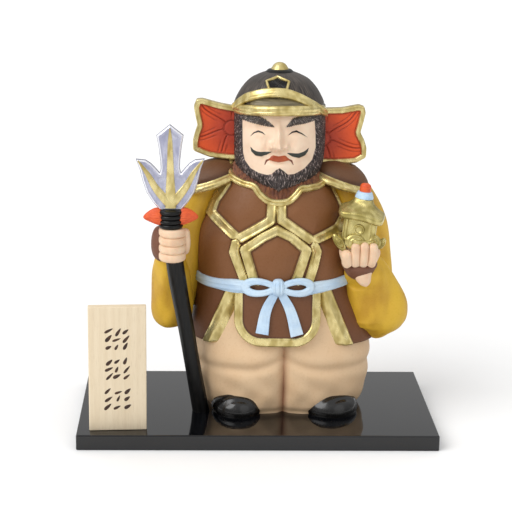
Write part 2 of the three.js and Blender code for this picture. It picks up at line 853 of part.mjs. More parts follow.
function pagoda(grow = 0, top = Infinity) {
  const levels = pagodaRows.filter(([height]) => height <= top);
  return loft(
    levels.map((level) =>
      ring(16, (a) => {
        const r = pagodaReach(level, a) + grow;
        const height = level[0] === 0 ? -grow : level[0];
        return pagodaPlace(point(r * sin(a), -r * cos(a), height));
      }),
    ),
  );
}

// Sets a solid made in figure shares on the plinth, at its real size.
function onPlinth(made) {
  return made.scale([share, share, share]).translate([figureX, figureY, plinthThickness]);
}

// The trident: shaft, black collar, two red tassels and a three-pronged blade.
const headFoot = { x: -70.4, y: -38.4, z: 126, lean: degrees(1.5) };
const blade = { thick: 4.6, foot: 10.4 };
const bladeHalf = [
  [0, 51.4],
  [7.6, 44.4],
  [6.6, 38],
  [5.6, 31],
  [6.2, 20.4],
  [7, 19.4],
  [9.6, 22.6],
  [13.6, 27.6],
  [17, 30],
  [20.6, 30.6],
  [18.6, 25.8],
  [17.4, 19.6],
  [15.4, 11.4],
  [11.6, 5.2],
  [6.6, 0],
];

function bladeOutline() {
  const mirrored = bladeHalf.slice(1).map(([x, z]) => [-x, z]);
  return [...bladeHalf, ...mirrored.reverse()];
}

const collarRows = [
  [-1, 6],
  [0, 7.4],
  [4.6, 6.9],
  [9.8, 7.4],
  [10.8, 6],
];

// Leans a solid made about the upright with the blade, and sets it on the shaft's top.
function onShaft(made) {
  const { x, y, z, lean } = headFoot;
  return made.rotate([0, -THREE.MathUtils.radToDeg(lean), 0]).translate([x, y, z]);
}

function shaftCollar(grow = 0) {
  const last = collarRows.length - 1;
  return onShaft(
    loft(
      collarRows.map(([z, r], i) => {
        const height = z + grow * ((i === last) - (i === 0));
        return ring(10, (a) => point((r + grow) * sin(a), -(r + grow) * cos(a), height));
      }),
    ),
  );
}

const tasselRows = [
  [5, 0, 5, 3, 3.6],
  [8.4, 0, 5.4, 5.2, 4.4],
  [11.6, 0, 5.6, 4.2, 3.6],
  [15, 0, 5.6, 1.8, 1.8],
  [16.4, 0, 5.4, 0.7, 0.7],
];

function tridentHead() {
  const shape = new THREE.Shape(bladeOutline().map(([x, z]) => new THREE.Vector2(x, z)));
  const bevel = 1.6;
  const cut = new THREE.ExtrudeGeometry(shape, {
    depth: blade.thick - 2 * bevel,
    bevelEnabled: true,
    bevelThickness: bevel,
    bevelSize: bevel,
    bevelOffset: -bevel,
    bevelSegments: 1,
  });
  cut.rotateX(PI / 2);
  cut.translate(0, blade.thick / 2 - bevel, blade.foot);
  const tassel = (way) => limb(tasselRows.map(([x, ...rest]) => [way * x, ...rest]), 4, 6);
  return joined([shaftCollar(), ...[solid(mergeIndex(cut)), tassel(1), tassel(-1)].map(onShaft)]);
}

function trident() {
  return shaft(0).add(tridentHead());
}

// The figure, in one piece, with room left round what it holds.
function figure() {
  const clear = heldClearance / share;
  const whole = joined([
    trousers(),
    ...shoes.map(shoe),
    cuirass(),
    ...bands(),
    ...plates(),
    belt(),
    ...bow(),
    ...collar(),
    shoulderCap(1),
    shoulderCap(-1),
    ...sleeves(),
    ...rightHand(),
    ...leftHand(),
    head(),
    ...helmetParts(),
    ...wings(),
    neckGuard(),
  ]);
  return whole.subtract(shaft(clear)).subtract(shaftCollar(clear)).subtract(pagoda(clear, 11));
}

// A solid as a mesh with its name and finish.
function mesh(name, made, finish) {
  const { vertProperties, triVerts, numProp } = made.getMesh();
  const geometry = new THREE.BufferGeometry();
  const positions = new Float32Array((vertProperties.length / numProp) * 3);
  for (let i = 0; i < positions.length / 3; i++)
    for (let c = 0; c < 3; c++) positions[3 * i + c] = vertProperties[numProp * i + c];
  geometry.setAttribute("position", new THREE.BufferAttribute(positions, 3));
  geometry.setIndex(Array.from(triVerts));
  geometry.computeVertexNormals();
  const shown = new THREE.Mesh(geometry, new THREE.MeshStandardMaterial(finish));
  shown.name = name;
  return shown;
}

// The plinth: a lacquered board with its edges just eased.
function plinth() {
  const board = new RoundedBoxGeometry(plinthWidth, plinthDepth, plinthThickness, 1, plinthEdgeRadius);
  board.translate(0, 0, plinthThickness / 2);
  return solid(mergeIndex(board));
}

// The name board: a plain slip of wood that stands near the plinth's front edge, turned a little inwards.
function nameBoard() {
  const board = new THREE.BoxGeometry(boardWidth, boardThickness, boardHeight);
  board.rotateZ(boardTurn);
  board.translate(
    -plinthWidth / 2 + boardSideInset,
    -plinthDepth / 2 + boardFrontInset + boardThickness / 2,
    plinthThickness + boardHeight / 2,
  );
  return solid(board);
}

const group = new THREE.Group();
group.add(
  mesh("plinth", plinth(), { color: 0x14151a, roughness: 0.12, metalness: 0 }),
  mesh("figure", onPlinth(figure()), { color: 0xa9825a, roughness: 0.7, metalness: 0 }),
  mesh("trident", onPlinth(trident()), { color: 0x8b8f98, roughness: 0.4, metalness: 0.3 }),
  mesh("pagoda", onPlinth(pagoda()), { color: 0xc3aa63, roughness: 0.4, metalness: 0.5 }),
  mesh("name_board", nameBoard(), { color: 0xe0ccaa, roughness: 0.75, metalness: 0 }),
);
export default group;
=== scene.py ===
"""A painted clay guardian king on a black lacquered plinth: its eyes are closed, it holds a trident in its
right hand and a gilt pagoda on its left, and a wooden name board stands beside it."""

import json
import math

import bpy
import numpy as np
from mathutils import Matrix, Vector

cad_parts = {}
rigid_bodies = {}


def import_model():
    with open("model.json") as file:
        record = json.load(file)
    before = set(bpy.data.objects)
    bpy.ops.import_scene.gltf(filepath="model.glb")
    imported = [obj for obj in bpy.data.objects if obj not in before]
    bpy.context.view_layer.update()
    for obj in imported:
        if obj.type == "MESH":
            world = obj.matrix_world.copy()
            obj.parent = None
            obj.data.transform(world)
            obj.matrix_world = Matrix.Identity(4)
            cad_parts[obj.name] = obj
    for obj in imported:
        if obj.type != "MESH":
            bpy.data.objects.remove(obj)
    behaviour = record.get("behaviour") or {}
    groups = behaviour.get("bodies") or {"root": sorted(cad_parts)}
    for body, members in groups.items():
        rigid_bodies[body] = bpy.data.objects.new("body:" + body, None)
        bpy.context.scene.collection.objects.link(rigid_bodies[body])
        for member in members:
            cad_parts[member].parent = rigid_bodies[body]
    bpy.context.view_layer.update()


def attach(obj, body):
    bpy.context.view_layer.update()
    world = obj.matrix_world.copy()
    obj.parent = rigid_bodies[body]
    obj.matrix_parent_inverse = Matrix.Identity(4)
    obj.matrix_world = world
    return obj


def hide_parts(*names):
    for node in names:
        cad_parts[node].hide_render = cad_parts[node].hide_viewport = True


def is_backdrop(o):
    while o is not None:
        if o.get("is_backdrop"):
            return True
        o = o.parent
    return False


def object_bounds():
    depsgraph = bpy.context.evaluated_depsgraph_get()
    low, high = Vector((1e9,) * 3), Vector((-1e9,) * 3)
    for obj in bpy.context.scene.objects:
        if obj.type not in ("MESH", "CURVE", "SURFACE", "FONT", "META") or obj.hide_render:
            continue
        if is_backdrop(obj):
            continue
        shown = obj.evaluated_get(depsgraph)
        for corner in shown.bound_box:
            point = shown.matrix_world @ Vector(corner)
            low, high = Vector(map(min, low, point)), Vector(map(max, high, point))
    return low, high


for spare in list(bpy.data.objects):
    bpy.data.objects.remove(spare)
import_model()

# Plinth
# A flat wooden board, sprayed with black lacquer and polished, its edges just eased. The figure, the
# trident's foot and the name board stand on it.


def ease(value, low, high):
    """A smooth rise from 0 at low to 1 at high: three times the square of the share, less twice its
    cube."""
    share = np.clip((value - low) / (high - low), 0, 1)
    return share * share * (3 - 2 * share)


def welded(points, quads, marks):
    """Points that coincide to half a thousandth of a millimetre are made one, and the four-cornered faces
    that shrink by it become three-cornered."""
    keys = np.round(points * 2000).astype(np.int64)
    _, first, which = np.unique(keys, axis=0, return_index=True, return_inverse=True)
    corners = which.reshape(-1)[quads]
    same = corners == np.roll(corners, -1, axis=1)
    count = same.sum(axis=1)
    faces = [corners[(count == 0) & (corners[:, 0] != corners[:, 2]) & (corners[:, 1] != corners[:, 3])]]
    for k in range(4):
        faces.append(np.delete(corners[(count == 1) & same[:, k]], k, axis=1))
    return points[first], faces, {name: values[first] for name, values in marks.items()}


def skin(name, grids, coat, marks=None, stand=(16, 6, 10), crease=48):
    """One closed mesh over grids of points, rows by columns, in millimetres from a standing point. Each
    grid's last column repeats its first, and its end rows shrink to a point or fold shut, so the welded
    surface has no edge. The sum of the small pyramids from the origin to each face tells which way the
    faces look, and they look out. marks gives the numbers or directions that the coat reads, one for each
    point."""
    grids = grids if isinstance(grids, list) else [grids]
    marks = {key: value if isinstance(value, list) else [value] for key, value in (marks or {}).items()}
    points, faces, sums, held = [], [], 0, {key: [] for key in marks}
    for k, grid in enumerate(grids):
        rows, columns = grid.shape[:2]
        index = np.arange(rows * columns).reshape(rows, columns)
        corners = [index[:-1, :-1], index[:-1, 1:], index[1:, 1:], index[1:, :-1]]
        quads = np.stack(corners, axis=-1).reshape(-1, 4)
        flat = {key: value[k].reshape(rows * columns, -1) for key, value in marks.items()}
        spots, parts, flat = welded(grid.reshape(-1, 3), quads, flat)
        volume = 0
        for part in parts:
            a, b, c = spots[part[:, 0]], spots[part[:, 1]], spots[part[:, 2]]
            volume += np.einsum("ij,ij->", a, np.cross(b, c))
            if part.shape[1] == 4:
                volume += np.einsum("ij,ij->", a, np.cross(c, spots[part[:, 3]]))
        faces += [(part if volume > 0 else part[:, ::-1]) + sums for part in parts]
        points.append(spots)
        for key, value in flat.items():
            held[key].append(value)
        sums += len(spots)
    mesh = bpy.data.meshes.new(name)
    places = (np.concatenate(points) + np.array(stand)) / 1000
    mesh.from_pydata(places.tolist(), [], [face for part in faces for face in part.tolist()])
    for key, value in held.items():
        numbers = np.concatenate(value)
        kind, field = ("FLOAT_VECTOR", "vector") if numbers.shape[1] == 3 else ("FLOAT", "value")
        mesh.attributes.new(key, kind, "POINT").data.foreach_set(field, numbers.astype(np.float32).ravel())
    mesh.shade_smooth()
    mesh.set_sharp_from_angle(angle=math.radians(crease))
    mesh.materials.append(coat)
    piece = bpy.data.objects.new(name, mesh)
    bpy.context.scene.collection.objects.link(piece)
    return piece


def part_of(piece, node):
    """The piece stands for a node of the model: it rides on the root body, and the node's own part is hidden.
    """
    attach(piece, "root")
    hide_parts(node)


def tone(red, green, blue):
    """A paint's colour from its three values on the usual scale to 255, made linear by the power 2.2."""
    return tuple((value / 255) ** 2.2 for value in (red, green, blue)) + (1,)


class Coat:
    """A finish built from nodes: each method adds one step and hands back what it gives."""

    def __init__(self, name):
        """A new material with the plain shader, which reads places in metres."""
        self.material = bpy.data.materials.new(name)
        self.material.use_nodes = True
        self.tree = self.material.node_tree
        self.shader = self.tree.nodes["Principled BSDF"]
        self.place = self.add("ShaderNodeTexCoord").outputs["Object"]

    def add(self, kind, inputs=None, **settings):
        """A node of one kind, with its settings made and its inputs joined."""
        node = self.tree.nodes.new(kind)
        for key, value in settings.items():
            setattr(node, key, value)
        self.join(node, inputs or {})
        return node

    def join(self, node, inputs):
        """Each input is linked to what another node gives, or set to a plain value."""
        for socket, value in inputs.items():
            if isinstance(value, bpy.types.NodeSocket):
                self.tree.links.new(value, node.inputs[socket])
            else:
                node.inputs[socket].default_value = value

    def speckle(self, size, stretch=(1, 1, 1), detail=3.0, at=None):
        """Noise whose grains are size millimetres across, drawn out along each axis by its stretch. Where
        at is given, the noise is laid on what the mesh holds there instead of on the place itself."""
        drawn = {"Vector": at or self.place, "Scale": [1 / share for share in stretch]}
        scaled = self.add("ShaderNodeMapping", drawn).outputs[0]
        scale = (1 if at else 1000) / size
        noise = {"Vector": scaled, "Scale": scale, "Detail": detail, "Roughness": 0.6}
        return self.add("ShaderNodeTexNoise", noise).outputs[0]

    def mark(self, name, kind="Fac"):
        """What the mesh holds under a name: a number, or three of them where the kind is Vector."""
        return self.add("ShaderNodeAttribute", attribute_name=name).outputs[kind]

    def rise(self, value, low, high, start=0.0, end=1.0):
        """The start number below low, the end number above high, and a smooth step between."""
        steps = {"Value": value, "From Min": low, "From Max": high, "To Min": start, "To Max": end}
        return self.add("ShaderNodeMapRange", steps, interpolation_type="SMOOTHSTEP").outputs[0]

    def over(self, amount, under, upper, how="MIX"):
        """The upper colour laid over the under one by an amount."""
        layers = {0: amount, 6: under, 7: upper}
        return self.add("ShaderNodeMix", layers, data_type="RGBA", blend_type=how).outputs[2]

    def sum(self, a, b):
        """Two numbers added."""
        return self.add("ShaderNodeMath", {0: a, 1: b}, operation="ADD").outputs[0]

    def relief(self, height, depth):
        """Fine relief, depth millimetres from its lowest to its highest."""
        inputs = {"Height": height, "Distance": depth / 1000, "Strength": 1.0}
        return self.add("ShaderNodeBump", inputs).outputs[0]

    def done(self, colour, rough, **sockets):
        """The finished material, with any other inputs of the shader given by name."""
        named = {key.replace("_", " "): value for key, value in sockets.items()}
        self.join(self.shader, {"Base Color": colour, "Roughness": rough, **named})
        return self.material


def lacquer():
    """Black lacquer: almost even, with the faint orange-peel waviness of a sprayed coat."""
    coat = Coat("black_lacquer")
    haze = coat.speckle(22, detail=2.0)
    colour = coat.over(haze, tone(9, 10, 12), tone(17, 18, 22))
    peel = coat.relief(coat.speckle(5, detail=1.0), 0.006)
    rough = coat.rise(haze, 0.3, 0.7, 0.06, 0.11)
    return coat.done(colour, rough, Normal=peel, Coat_Weight=0.4, Coat_Roughness=0.03, Specular_IOR_Level=0.4)


def board(half, radius, cuts):
    """A block with rounded edges: a profile from the middle of the underside, out, round each edge and in
    to the middle of the top, carried round a rectangle whose corners are rounded by the same radius."""
    arc = np.linspace(0, math.pi / 2, cuts)
    middle = min(half[:2])
    inset = np.concatenate([[middle], radius * (1 - np.sin(arc)), radius * (1 - np.cos(arc)), [middle]])
    lower, upper = -half[2] + radius * (1 - np.cos(arc)), half[2] - radius * (1 - np.sin(arc))
    level = np.concatenate([[-half[2]], lower, upper, [half[2]]])
    turn = np.linspace(0, 2 * math.pi, 4 * (2 * cuts) + 1)
    quarter = np.floor(np.linspace(0, 4, len(turn)) - 1e-9).clip(0, 3)
    signs = np.array([[1, 1], [-1, 1], [-1, -1], [1, -1]])[quarter.astype(int)]
    reach = np.maximum(radius - inset, 0)[:, None]
    shrink = np.maximum(inset - radius, 0)[:, None]
    x = np.maximum(half[0] - radius - shrink, 0) * signs[:, 0] + reach * np.cos(turn)
    y = np.maximum(half[1] - radius - shrink, 0) * signs[:, 1] + reach * np.sin(turn)
    grid = np.stack([x, y, np.broadcast_to(level[:, None], x.shape)], axis=-1)
    return np.concatenate([grid, grid[:, :1]], axis=1)


plinth_half = (112.5, 60, 5)
plinth = skin("plinth_board", board(plinth_half, 0.9, 6), lacquer(), stand=(0, 0, 5), crease=60)
part_of(plinth, "plinth")

# Trousers
# Two full trouser legs, cast with the body and painted a matt flesh-coloured beige, gathered over the
# shoes, with a deep cleft between them.


def along(table, t):
    """Values read off rows [t, a, b, ...] on a smooth curve whose slope at each row is that of the line
    through its two neighbours: a cubic between rows that meets both values and both slopes."""
    table = np.asarray(table, float)
    stops, values = table[:, 0], table[:, 1:]
    t = np.clip(np.asarray(t, float), stops[0], stops[-1])
    i = np.clip(np.searchsorted(stops, t, side="right") - 1, 0, len(stops) - 2)
    before = np.maximum(np.arange(len(stops)) - 1, 0)
    after = np.minimum(np.arange(len(stops)) + 1, len(stops) - 1)
    slopes = (values[after] - values[before]) / (stops[after] - stops[before])[:, None]
    span = (stops[i + 1] - stops[i])[..., None]
    s = (t - stops[i])[..., None] / span
    curve = (
        (2 * s**3 - 3 * s**2 + 1) * values[i]
        + (s**3 - 2 * s**2 + s) * span * slopes[i]
        + (3 * s**2 - 2 * s**3) * values[i + 1]
        + (s**3 - s**2) * span * slopes[i + 1]
    )
    return np.moveaxis(curve, -1, 0)


def rounded(value, power):
    """A sine or cosine raised to a power, with its sign kept: a power below 1 makes an oval squarer."""
    return np.sign(value) * np.abs(value) ** power


def bump(value, width):
    """A smooth hump, 1 at nothing and 0.37 at the width: e to the minus square."""
    return np.exp(-((value / width) ** 2))


def angles(columns, crowd=0.4):
    """Angles once round from the front towards the figure's left, closer together in front by the crowd
    share."""
    even = np.linspace(0, 2 * math.pi, columns + 1)
    return even - crowd * np.sin(even)


def rounds(levels, columns):
    """A grid of levels, one to a row, and of even steps of the angle once round, one to a column."""
    return np.meshgrid(levels, np.linspace(0, 2 * math.pi, columns + 1), indexing="ij")


def shut(grid, marks=None):
    """Closes both ends of a tube: its end rows are followed by their own middles."""
    ends = [np.broadcast_to(grid[k, :-1].mean(axis=0), grid[k].shape)[None] for k in (0, -1)]
    closed = np.concatenate([ends[0], grid, ends[1]])
    if marks is None:
        return closed
    return closed, {key: np.concatenate([value[:1], value, value[-1:]]) for key, value in marks.items()}


trouser_rows = [
    [0, 1.2, 47.5, 29.4, 30],
    [5, 1.2, 51.5, 31.6, 33],
    [16, 1.2, 55, 33.8, 36],
    [30, 1.2, 56, 35.4, 38],
    [44, 1, 56, 35.5, 38.5],
    [60, 0, 53, 34, 37],
    [80, -2, 48, 31, 34],
]


def trouser_grid(rows, columns):
    """Level ovals whose middle, half width and depths follow a table. A narrow and a wide hump press the
    cleft in, a dipped line of gathers crosses each leg, and slanting waves that fade with height make the
    soft creases."""
    top = trouser_rows[-1][0]
    z, a = np.meshgrid(top * np.linspace(0, 1, rows) ** 1.15, angles(columns), indexing="ij")
    middle, wide, front, back = along(trouser_rows, z)
    fore = ease(np.cos(a), -0.15, 0.15)
    x = wide * rounded(np.sin(a), 0.8)
    leg = (np.abs(x) - 27) / 27
    cleft = (2.2 + fore) * bump(x, 2.4) + (1.8 + fore) * bump(x, 9)
    gather = 31 + 8 * np.maximum(0, -leg) ** 2
    over = z - gather
    fold = fore * (1.3 * bump(over - 7, 7) - 1.3 * bump(over, 3.2) + 0.4 * bump(over + 6, 5))
    slant = np.sin(z * 0.32 + x * 0.23) * bump(z - 17, 13) * 0.4
    slant += np.sin(z * 0.21 - x * 0.37 + 1.3) * bump(z - 9, 9) * 0.4
    hem = -0.8 * bump(z - 1.5, 2.2)
    y = -(np.where(np.cos(a) > 0, front, back) + fold + slant + hem) * rounded(np.cos(a), 0.8)
    y += np.where(np.cos(a) > 0, cleft, -cleft)
    side = (fold + slant + hem) * rounded(np.sin(a), 0.8) * 0.7
    # depth is a mask of painted shade: strongest down the cleft between the legs, and stronger low down
    depth = bump(x, 1.9) * ease(np.cos(a), 0, 0.3) * (0.55 + 0.45 * bump(z - 12, 16))
    return np.stack([middle + x + side, y, z], axis=-1), {"cleft": depth}


def clay(coat, colour, size=1.4, depth=0.05):
    """Matt paint on cast clay: the colour worn a little lighter and darker in soft patches, over a fine
    grain."""
    patch = coat.speckle(14, detail=3.0)
    grain = coat.speckle(size, detail=5.0)
    shaded = coat.over(coat.rise(patch, 0.35, 0.7, 0.0, 0.3), colour, (0.92, 0.82, 0.72, 1), "MULTIPLY")
    pitted = coat.over(coat.rise(grain, 0.5, 0.72, 0.0, 0.16), shaded, (0.6, 0.5, 0.42, 1), "MULTIPLY")
    return pitted, coat.rise(grain, 0.3, 0.7, 0.5, 0.66), coat.relief(grain, depth)


def trouser_paint():
    """Matt beige, with painted shade in reddish brown down the cleft."""
    coat = Coat("trouser_paint")
    # painted shade: the cleft mark darkens the beige to reddish brown down the cleft
    colour = coat.over(coat.mark("cleft"), tone(222, 190, 152), tone(158, 112, 86))
    painted, rough, grain = clay(coat, colour)
    return coat.done(painted, rough, Normal=grain)


grid, marks = shut(*trouser_grid(90, 210))
part_of(skin("trousers", grid, trouser_paint(), marks), "figure")

# Shoes
# Round-toed black shoes that show under the trouser legs, cast on and painted with glossy black lacquer.
# The figure's left shoe points outwards.

shoe_sizes = [[-27.6, -18.4, 17.2, 20, 15, 0], [31, -17, 18.4, 20.6, 14.6, math.radians(28)]]


def shoe_grid(x, y, wide, long, high, toe, rows=40, columns=72):
    """A dome over an oval: the oval shrinks by a high power of the height. A few shallow creases cross
    the instep."""
    level, a = rounds(np.linspace(0, 1, rows), columns)
    level = np.sin(level * math.pi / 2)
    reach = (1 - level**2.6).clip(0) ** (1 / 2.2) * (1 - 0.06 * bump(level, 0.12))
    across, ahead = wide * reach * np.sin(a), -long * reach * np.cos(a)
    crease = 0.35 * np.sin(ahead * 1.5) * ease(-ahead, 6, 12) * ease(level, 0.35, 0.8)
    turned_x = x + across * math.cos(toe) - ahead * math.sin(toe)
    turned_y = y + across * math.sin(toe) + ahead * math.cos(toe)
    return shut(np.stack([turned_x, turned_y, high * level - crease], axis=-1))


def shoe_lacquer():
    """Glossy black lacquer, worn a little greyer and duller in spots."""
    coat = Coat("shoe_lacquer")
    wear = coat.speckle(4, detail=4.0)
    colour = coat.over(wear, tone(10, 9, 9), tone(24, 22, 21))
    rough = coat.rise(wear, 0.35, 0.65, 0.16, 0.3)
    return coat.done(colour, rough, Normal=coat.relief(wear, 0.05), Coat_Weight=0.2)


shoes = skin("shoes", [shoe_grid(*size) for size in shoe_sizes], shoe_lacquer())
part_of(shoes, "figure")

# Cuirass
# The body armour: brown plates, a little swollen, between raised gilt bands with a fine line along each
# edge, all modelled in the clay and painted.

torso_rows = [
    [52, -1, 47, 30, 32],
    [72, -3, 48.5, 33, 34],
    [86, -4, 48.6, 34.8, 34.5],
    [100, -4.6, 48.6, 35.4, 34.5],
    [114, -5, 47.6, 34.8, 33.5],
    [128, -5, 44.6, 32.4, 31.5],
    [140, -5, 39.6, 28.4, 29],
    [150, -5, 32.5, 23, 25.5],
    [159, -4.6, 24, 17, 20],
]
chest_bands = [
    [[-36.5, 148.5, 3], [-43.3, 138.5, 3], [-46.2, 130.4, 3], [-28.8, 116.3, 3], [-8.9, 128.4, 3],
     [-8.2, 138.2, 3]],
    [[-2.2, 138.2, 3], [-2.3, 128.8, 3], [17.2, 115.3, 3], [33.5, 121.4, 3], [40.5, 131, 3]],
    [[-17, 84, 3], [-20, 94, 3], [-24.7, 110, 3], [-13.5, 118.3, 3], [-5, 122.6, 3], [4, 118.4, 3],
     [13.6, 110, 3], [8.4, 93.6, 3], [5, 84, 3]],
    [[-29.6, 116, 2.9], [-31.4, 107.8, 2.9], [-28.6, 100.4, 2.9], [-25.7, 92.9, 2.9], [-22, 84, 2.9]],
    [[17.6, 114.8, 2.9], [20, 108.6, 2.9], [18.2, 99.6, 2.9], [15.6, 90.6, 2.9], [13.4, 84, 2.9]],
    [[27.5, 150, 0.6], [33.5, 139, 0.6], [38.5, 127, 0.6]],
]
back_bands = [
    [[-26, 150, 2.5], [-22, 112, 2.5], [-24, 84, 2.5]],
    [[17, 150, 2.5], [13, 112, 2.5], [15, 84, 2.5]],
    [[-48, 122, 2.5], [-22, 112, 2.5], [13, 112, 2.5], [40, 122, 2.5]],
]
body_squareness = 0.87


def stroke(x, z, route):
    """How far each place lies inside a stroke drawn along straight runs, whose half width is given at
    each corner: the half width there less the distance to the nearest run, so above 0 inside and below 0
    outside."""
    within = np.full(x.shape, -1e3)
    for (ax, az, a_half), (bx, bz, b_half) in zip(route[:-1], route[1:]):
        run_x, run_z = bx - ax, bz - az
        share = (((x - ax) * run_x + (z - az) * run_z) / (run_x**2 + run_z**2)).clip(0, 1)
        away = np.hypot(x - ax - share * run_x, z - az - share * run_z)
        within = np.maximum(within, a_half + share * (b_half - a_half) - away)
    return within


def body_point(rows, z, a, out=0.0, power=body_squareness):
    """A level oval of the table at height z, squared a little by the power, moved outwards by out."""
    middle, wide, front, back = along(rows, z)
    deep = np.where(np.cos(a) > 0, front, back)
    x = middle + (wide + out) * rounded(np.sin(a), power)
    y = -(deep + out) * rounded(np.cos(a), power)
    return np.stack([x, y, z + 0 * x], axis=-1)


def band_relief(inside):
    """A band's height from how far inside its edge a place lies: a steep step, a fine ridge along the
    edge and a shallow trough between the two ridges."""
    return 1.1 * ease(inside, -0.3, 0.5) + 0.34 * bump(inside - 0.8, 0.42) - 0.2 * ease(inside, 1.1, 2.4)


def cuirass_grid(rows, columns):
    """The body's ovals, lifted by the bands and by plates that swell with their distance from the nearest
    band. A narrow groove parts two bands where a place lies about as far inside the one as inside the
    other."""
    low, high = 80, torso_rows[-1][0]
    z, a = np.meshgrid(np.linspace(low, high, rows), angles(columns, 0.5), indexing="ij")
    x = body_point(torso_rows, z, a)[..., 0]
    front = np.sort([stroke(x, z, route) for route in chest_bands], axis=0)
    behind = np.max([stroke(x, z, route) for route in back_bands], axis=0)
    parted = bump(front[-1] - front[-2], 0.55) * ease(front[-2], -1.2, -0.4) * (np.cos(a) > 0)
    gilt = np.where(np.cos(a) > 0, front[-1], behind) - 12 * ease(85.5 - z, 0, 1)
    swell = 1.5 * (1 - bump(np.minimum(gilt, 0), 5.5)) - 0.5 * bump(gilt + 0.5, 0.7)
    swell -= 3.5 * ease(88 - z, 0, 4)
    inside = gilt - parted * (gilt.clip(0) + 0.5)
    return body_point(torso_rows, z, a, band_relief(gilt) - 0.9 * parted + swell), {"gilt": inside}


gold_light, gold_dark, gold_shine = tone(228, 211, 150), tone(180, 160, 98), 0.72


def satin_gold(coat, light, dark):
    """Satin gold paint in soft clouds between two tones: its colour, its roughness and its relief."""
    cloud = coat.speckle(4.5, (1, 1, 1.8), detail=1.5)
    colour = coat.over(coat.rise(cloud, 0.3, 0.72), light, dark)
    return colour, coat.rise(cloud, 0.3, 0.7, 0.26, 0.34), coat.relief(cloud, 0.02)


def gilded(coat, colour):
    """Matt paint on the clay, with satin gold laid over it where the mark gilt is above nothing. Painted
    shade darkens the paint in the crease beside the gold."""
    base, base_rough, base_grain = clay(coat, colour, 1.2, 0.04)
    inside = coat.mark("gilt")
    edge = coat.speckle(1.1, detail=4.0)
    ragged = coat.sum(inside, coat.rise(edge, 0.2, 0.8, -0.05, 0.05))
    laid = coat.rise(ragged, -0.12, 0.08)
    gold, satin, smooth = satin_gold(coat, gold_light, gold_dark)
    # painted shade: the brown is darkened in the crease just outside each gold edge
    crease = coat.rise(inside, -1.3, -0.1, 0.0, 0.65)
    shaded = coat.over(crease, base, (0.32, 0.23, 0.17, 1), "MULTIPLY")
    rough = coat.add("ShaderNodeMix", {0: laid, 2: base_rough, 3: satin}).outputs[0]
    metal = coat.rise(laid, 0.0, 1.0, 0.0, gold_shine)
    relief = coat.add("ShaderNodeMix", {0: laid, 4: base_grain, 5: smooth}, data_type="VECTOR").outputs[1]
    return coat.done(coat.over(laid, shaded, gold), rough, Metallic=metal, Normal=relief)


def armour_paint(name, brown=tone(122, 78, 42)):
    """Brown paint with gilt bands."""
    return gilded(Coat(name), brown)


grid, marks = shut(*cuirass_grid(158, 356))
part_of(skin("cuirass", grid, armour_paint("cuirass_paint"), marks), "figure")

# Hanging plates
# An apron with round lower corners, a flap at each side and a panel behind, all hanging over the
# trousers. Each is a thick brown slab with a raised gilt border and gilt edges.

skirt_rows = [
    [46, 1.5, 60, 40, 41],
    [56, 0.5, 57.5, 39.2, 39.5],
    [68, -1.5, 53.5, 37.6, 37.5],
    [80, -3.4, 50.4, 36, 36],
    [92, -4, 48.6, 35, 34.6],
]
apron_low, apron_middle, apron_half_width, apron_corner = 48.6, -3.9, 27.2, 17.0


def skirt_angle(x, z):
    """The angle at which the skirt's oval has a given x."""
    middle, wide, _, _ = along(skirt_rows, z)
    return np.arcsin(rounded(((x - middle) / wide).clip(-1, 1), 1 / body_squareness))


def apron_half(z):
    """The apron's half width: straight, then a quarter circle in at the foot."""
    drop = (apron_low + apron_corner - z).clip(0) / apron_corner
    return apron_half_width - apron_corner * (1 - np.sqrt((1 - drop**2).clip(0)))


def crowded(count, share=0.6):
    """Numbers from -1 to 1, closer together at both ends: part even, part the sine of the even."""
    even = np.linspace(-1, 1, count)
    return (1 - share) * even + share * np.sin(even * math.pi / 2)


def slab(outer, inner, outer_mark, inner_mark):
    """An outer and an inner sheet joined into one, with a number for each point. A row runs along the
    outer sheet and back along the inner one, and the first and last rows fold shut on the line midway
    between the two."""
    loop = np.concatenate([outer, inner[:, ::-1], outer[:, :1]], axis=1)
    seam = (outer + inner) / 2
    folded = [np.concatenate([seam[k], seam[k, ::-1], seam[k, :1]])[None] for k in (0, -1)]
    mark = np.concatenate([outer_mark, inner_mark[:, ::-1], outer_mark[:, :1]], axis=1)
    return np.concatenate([folded[0], loop, folded[1]]), np.concatenate([mark[:1], mark, mark[-1:]])


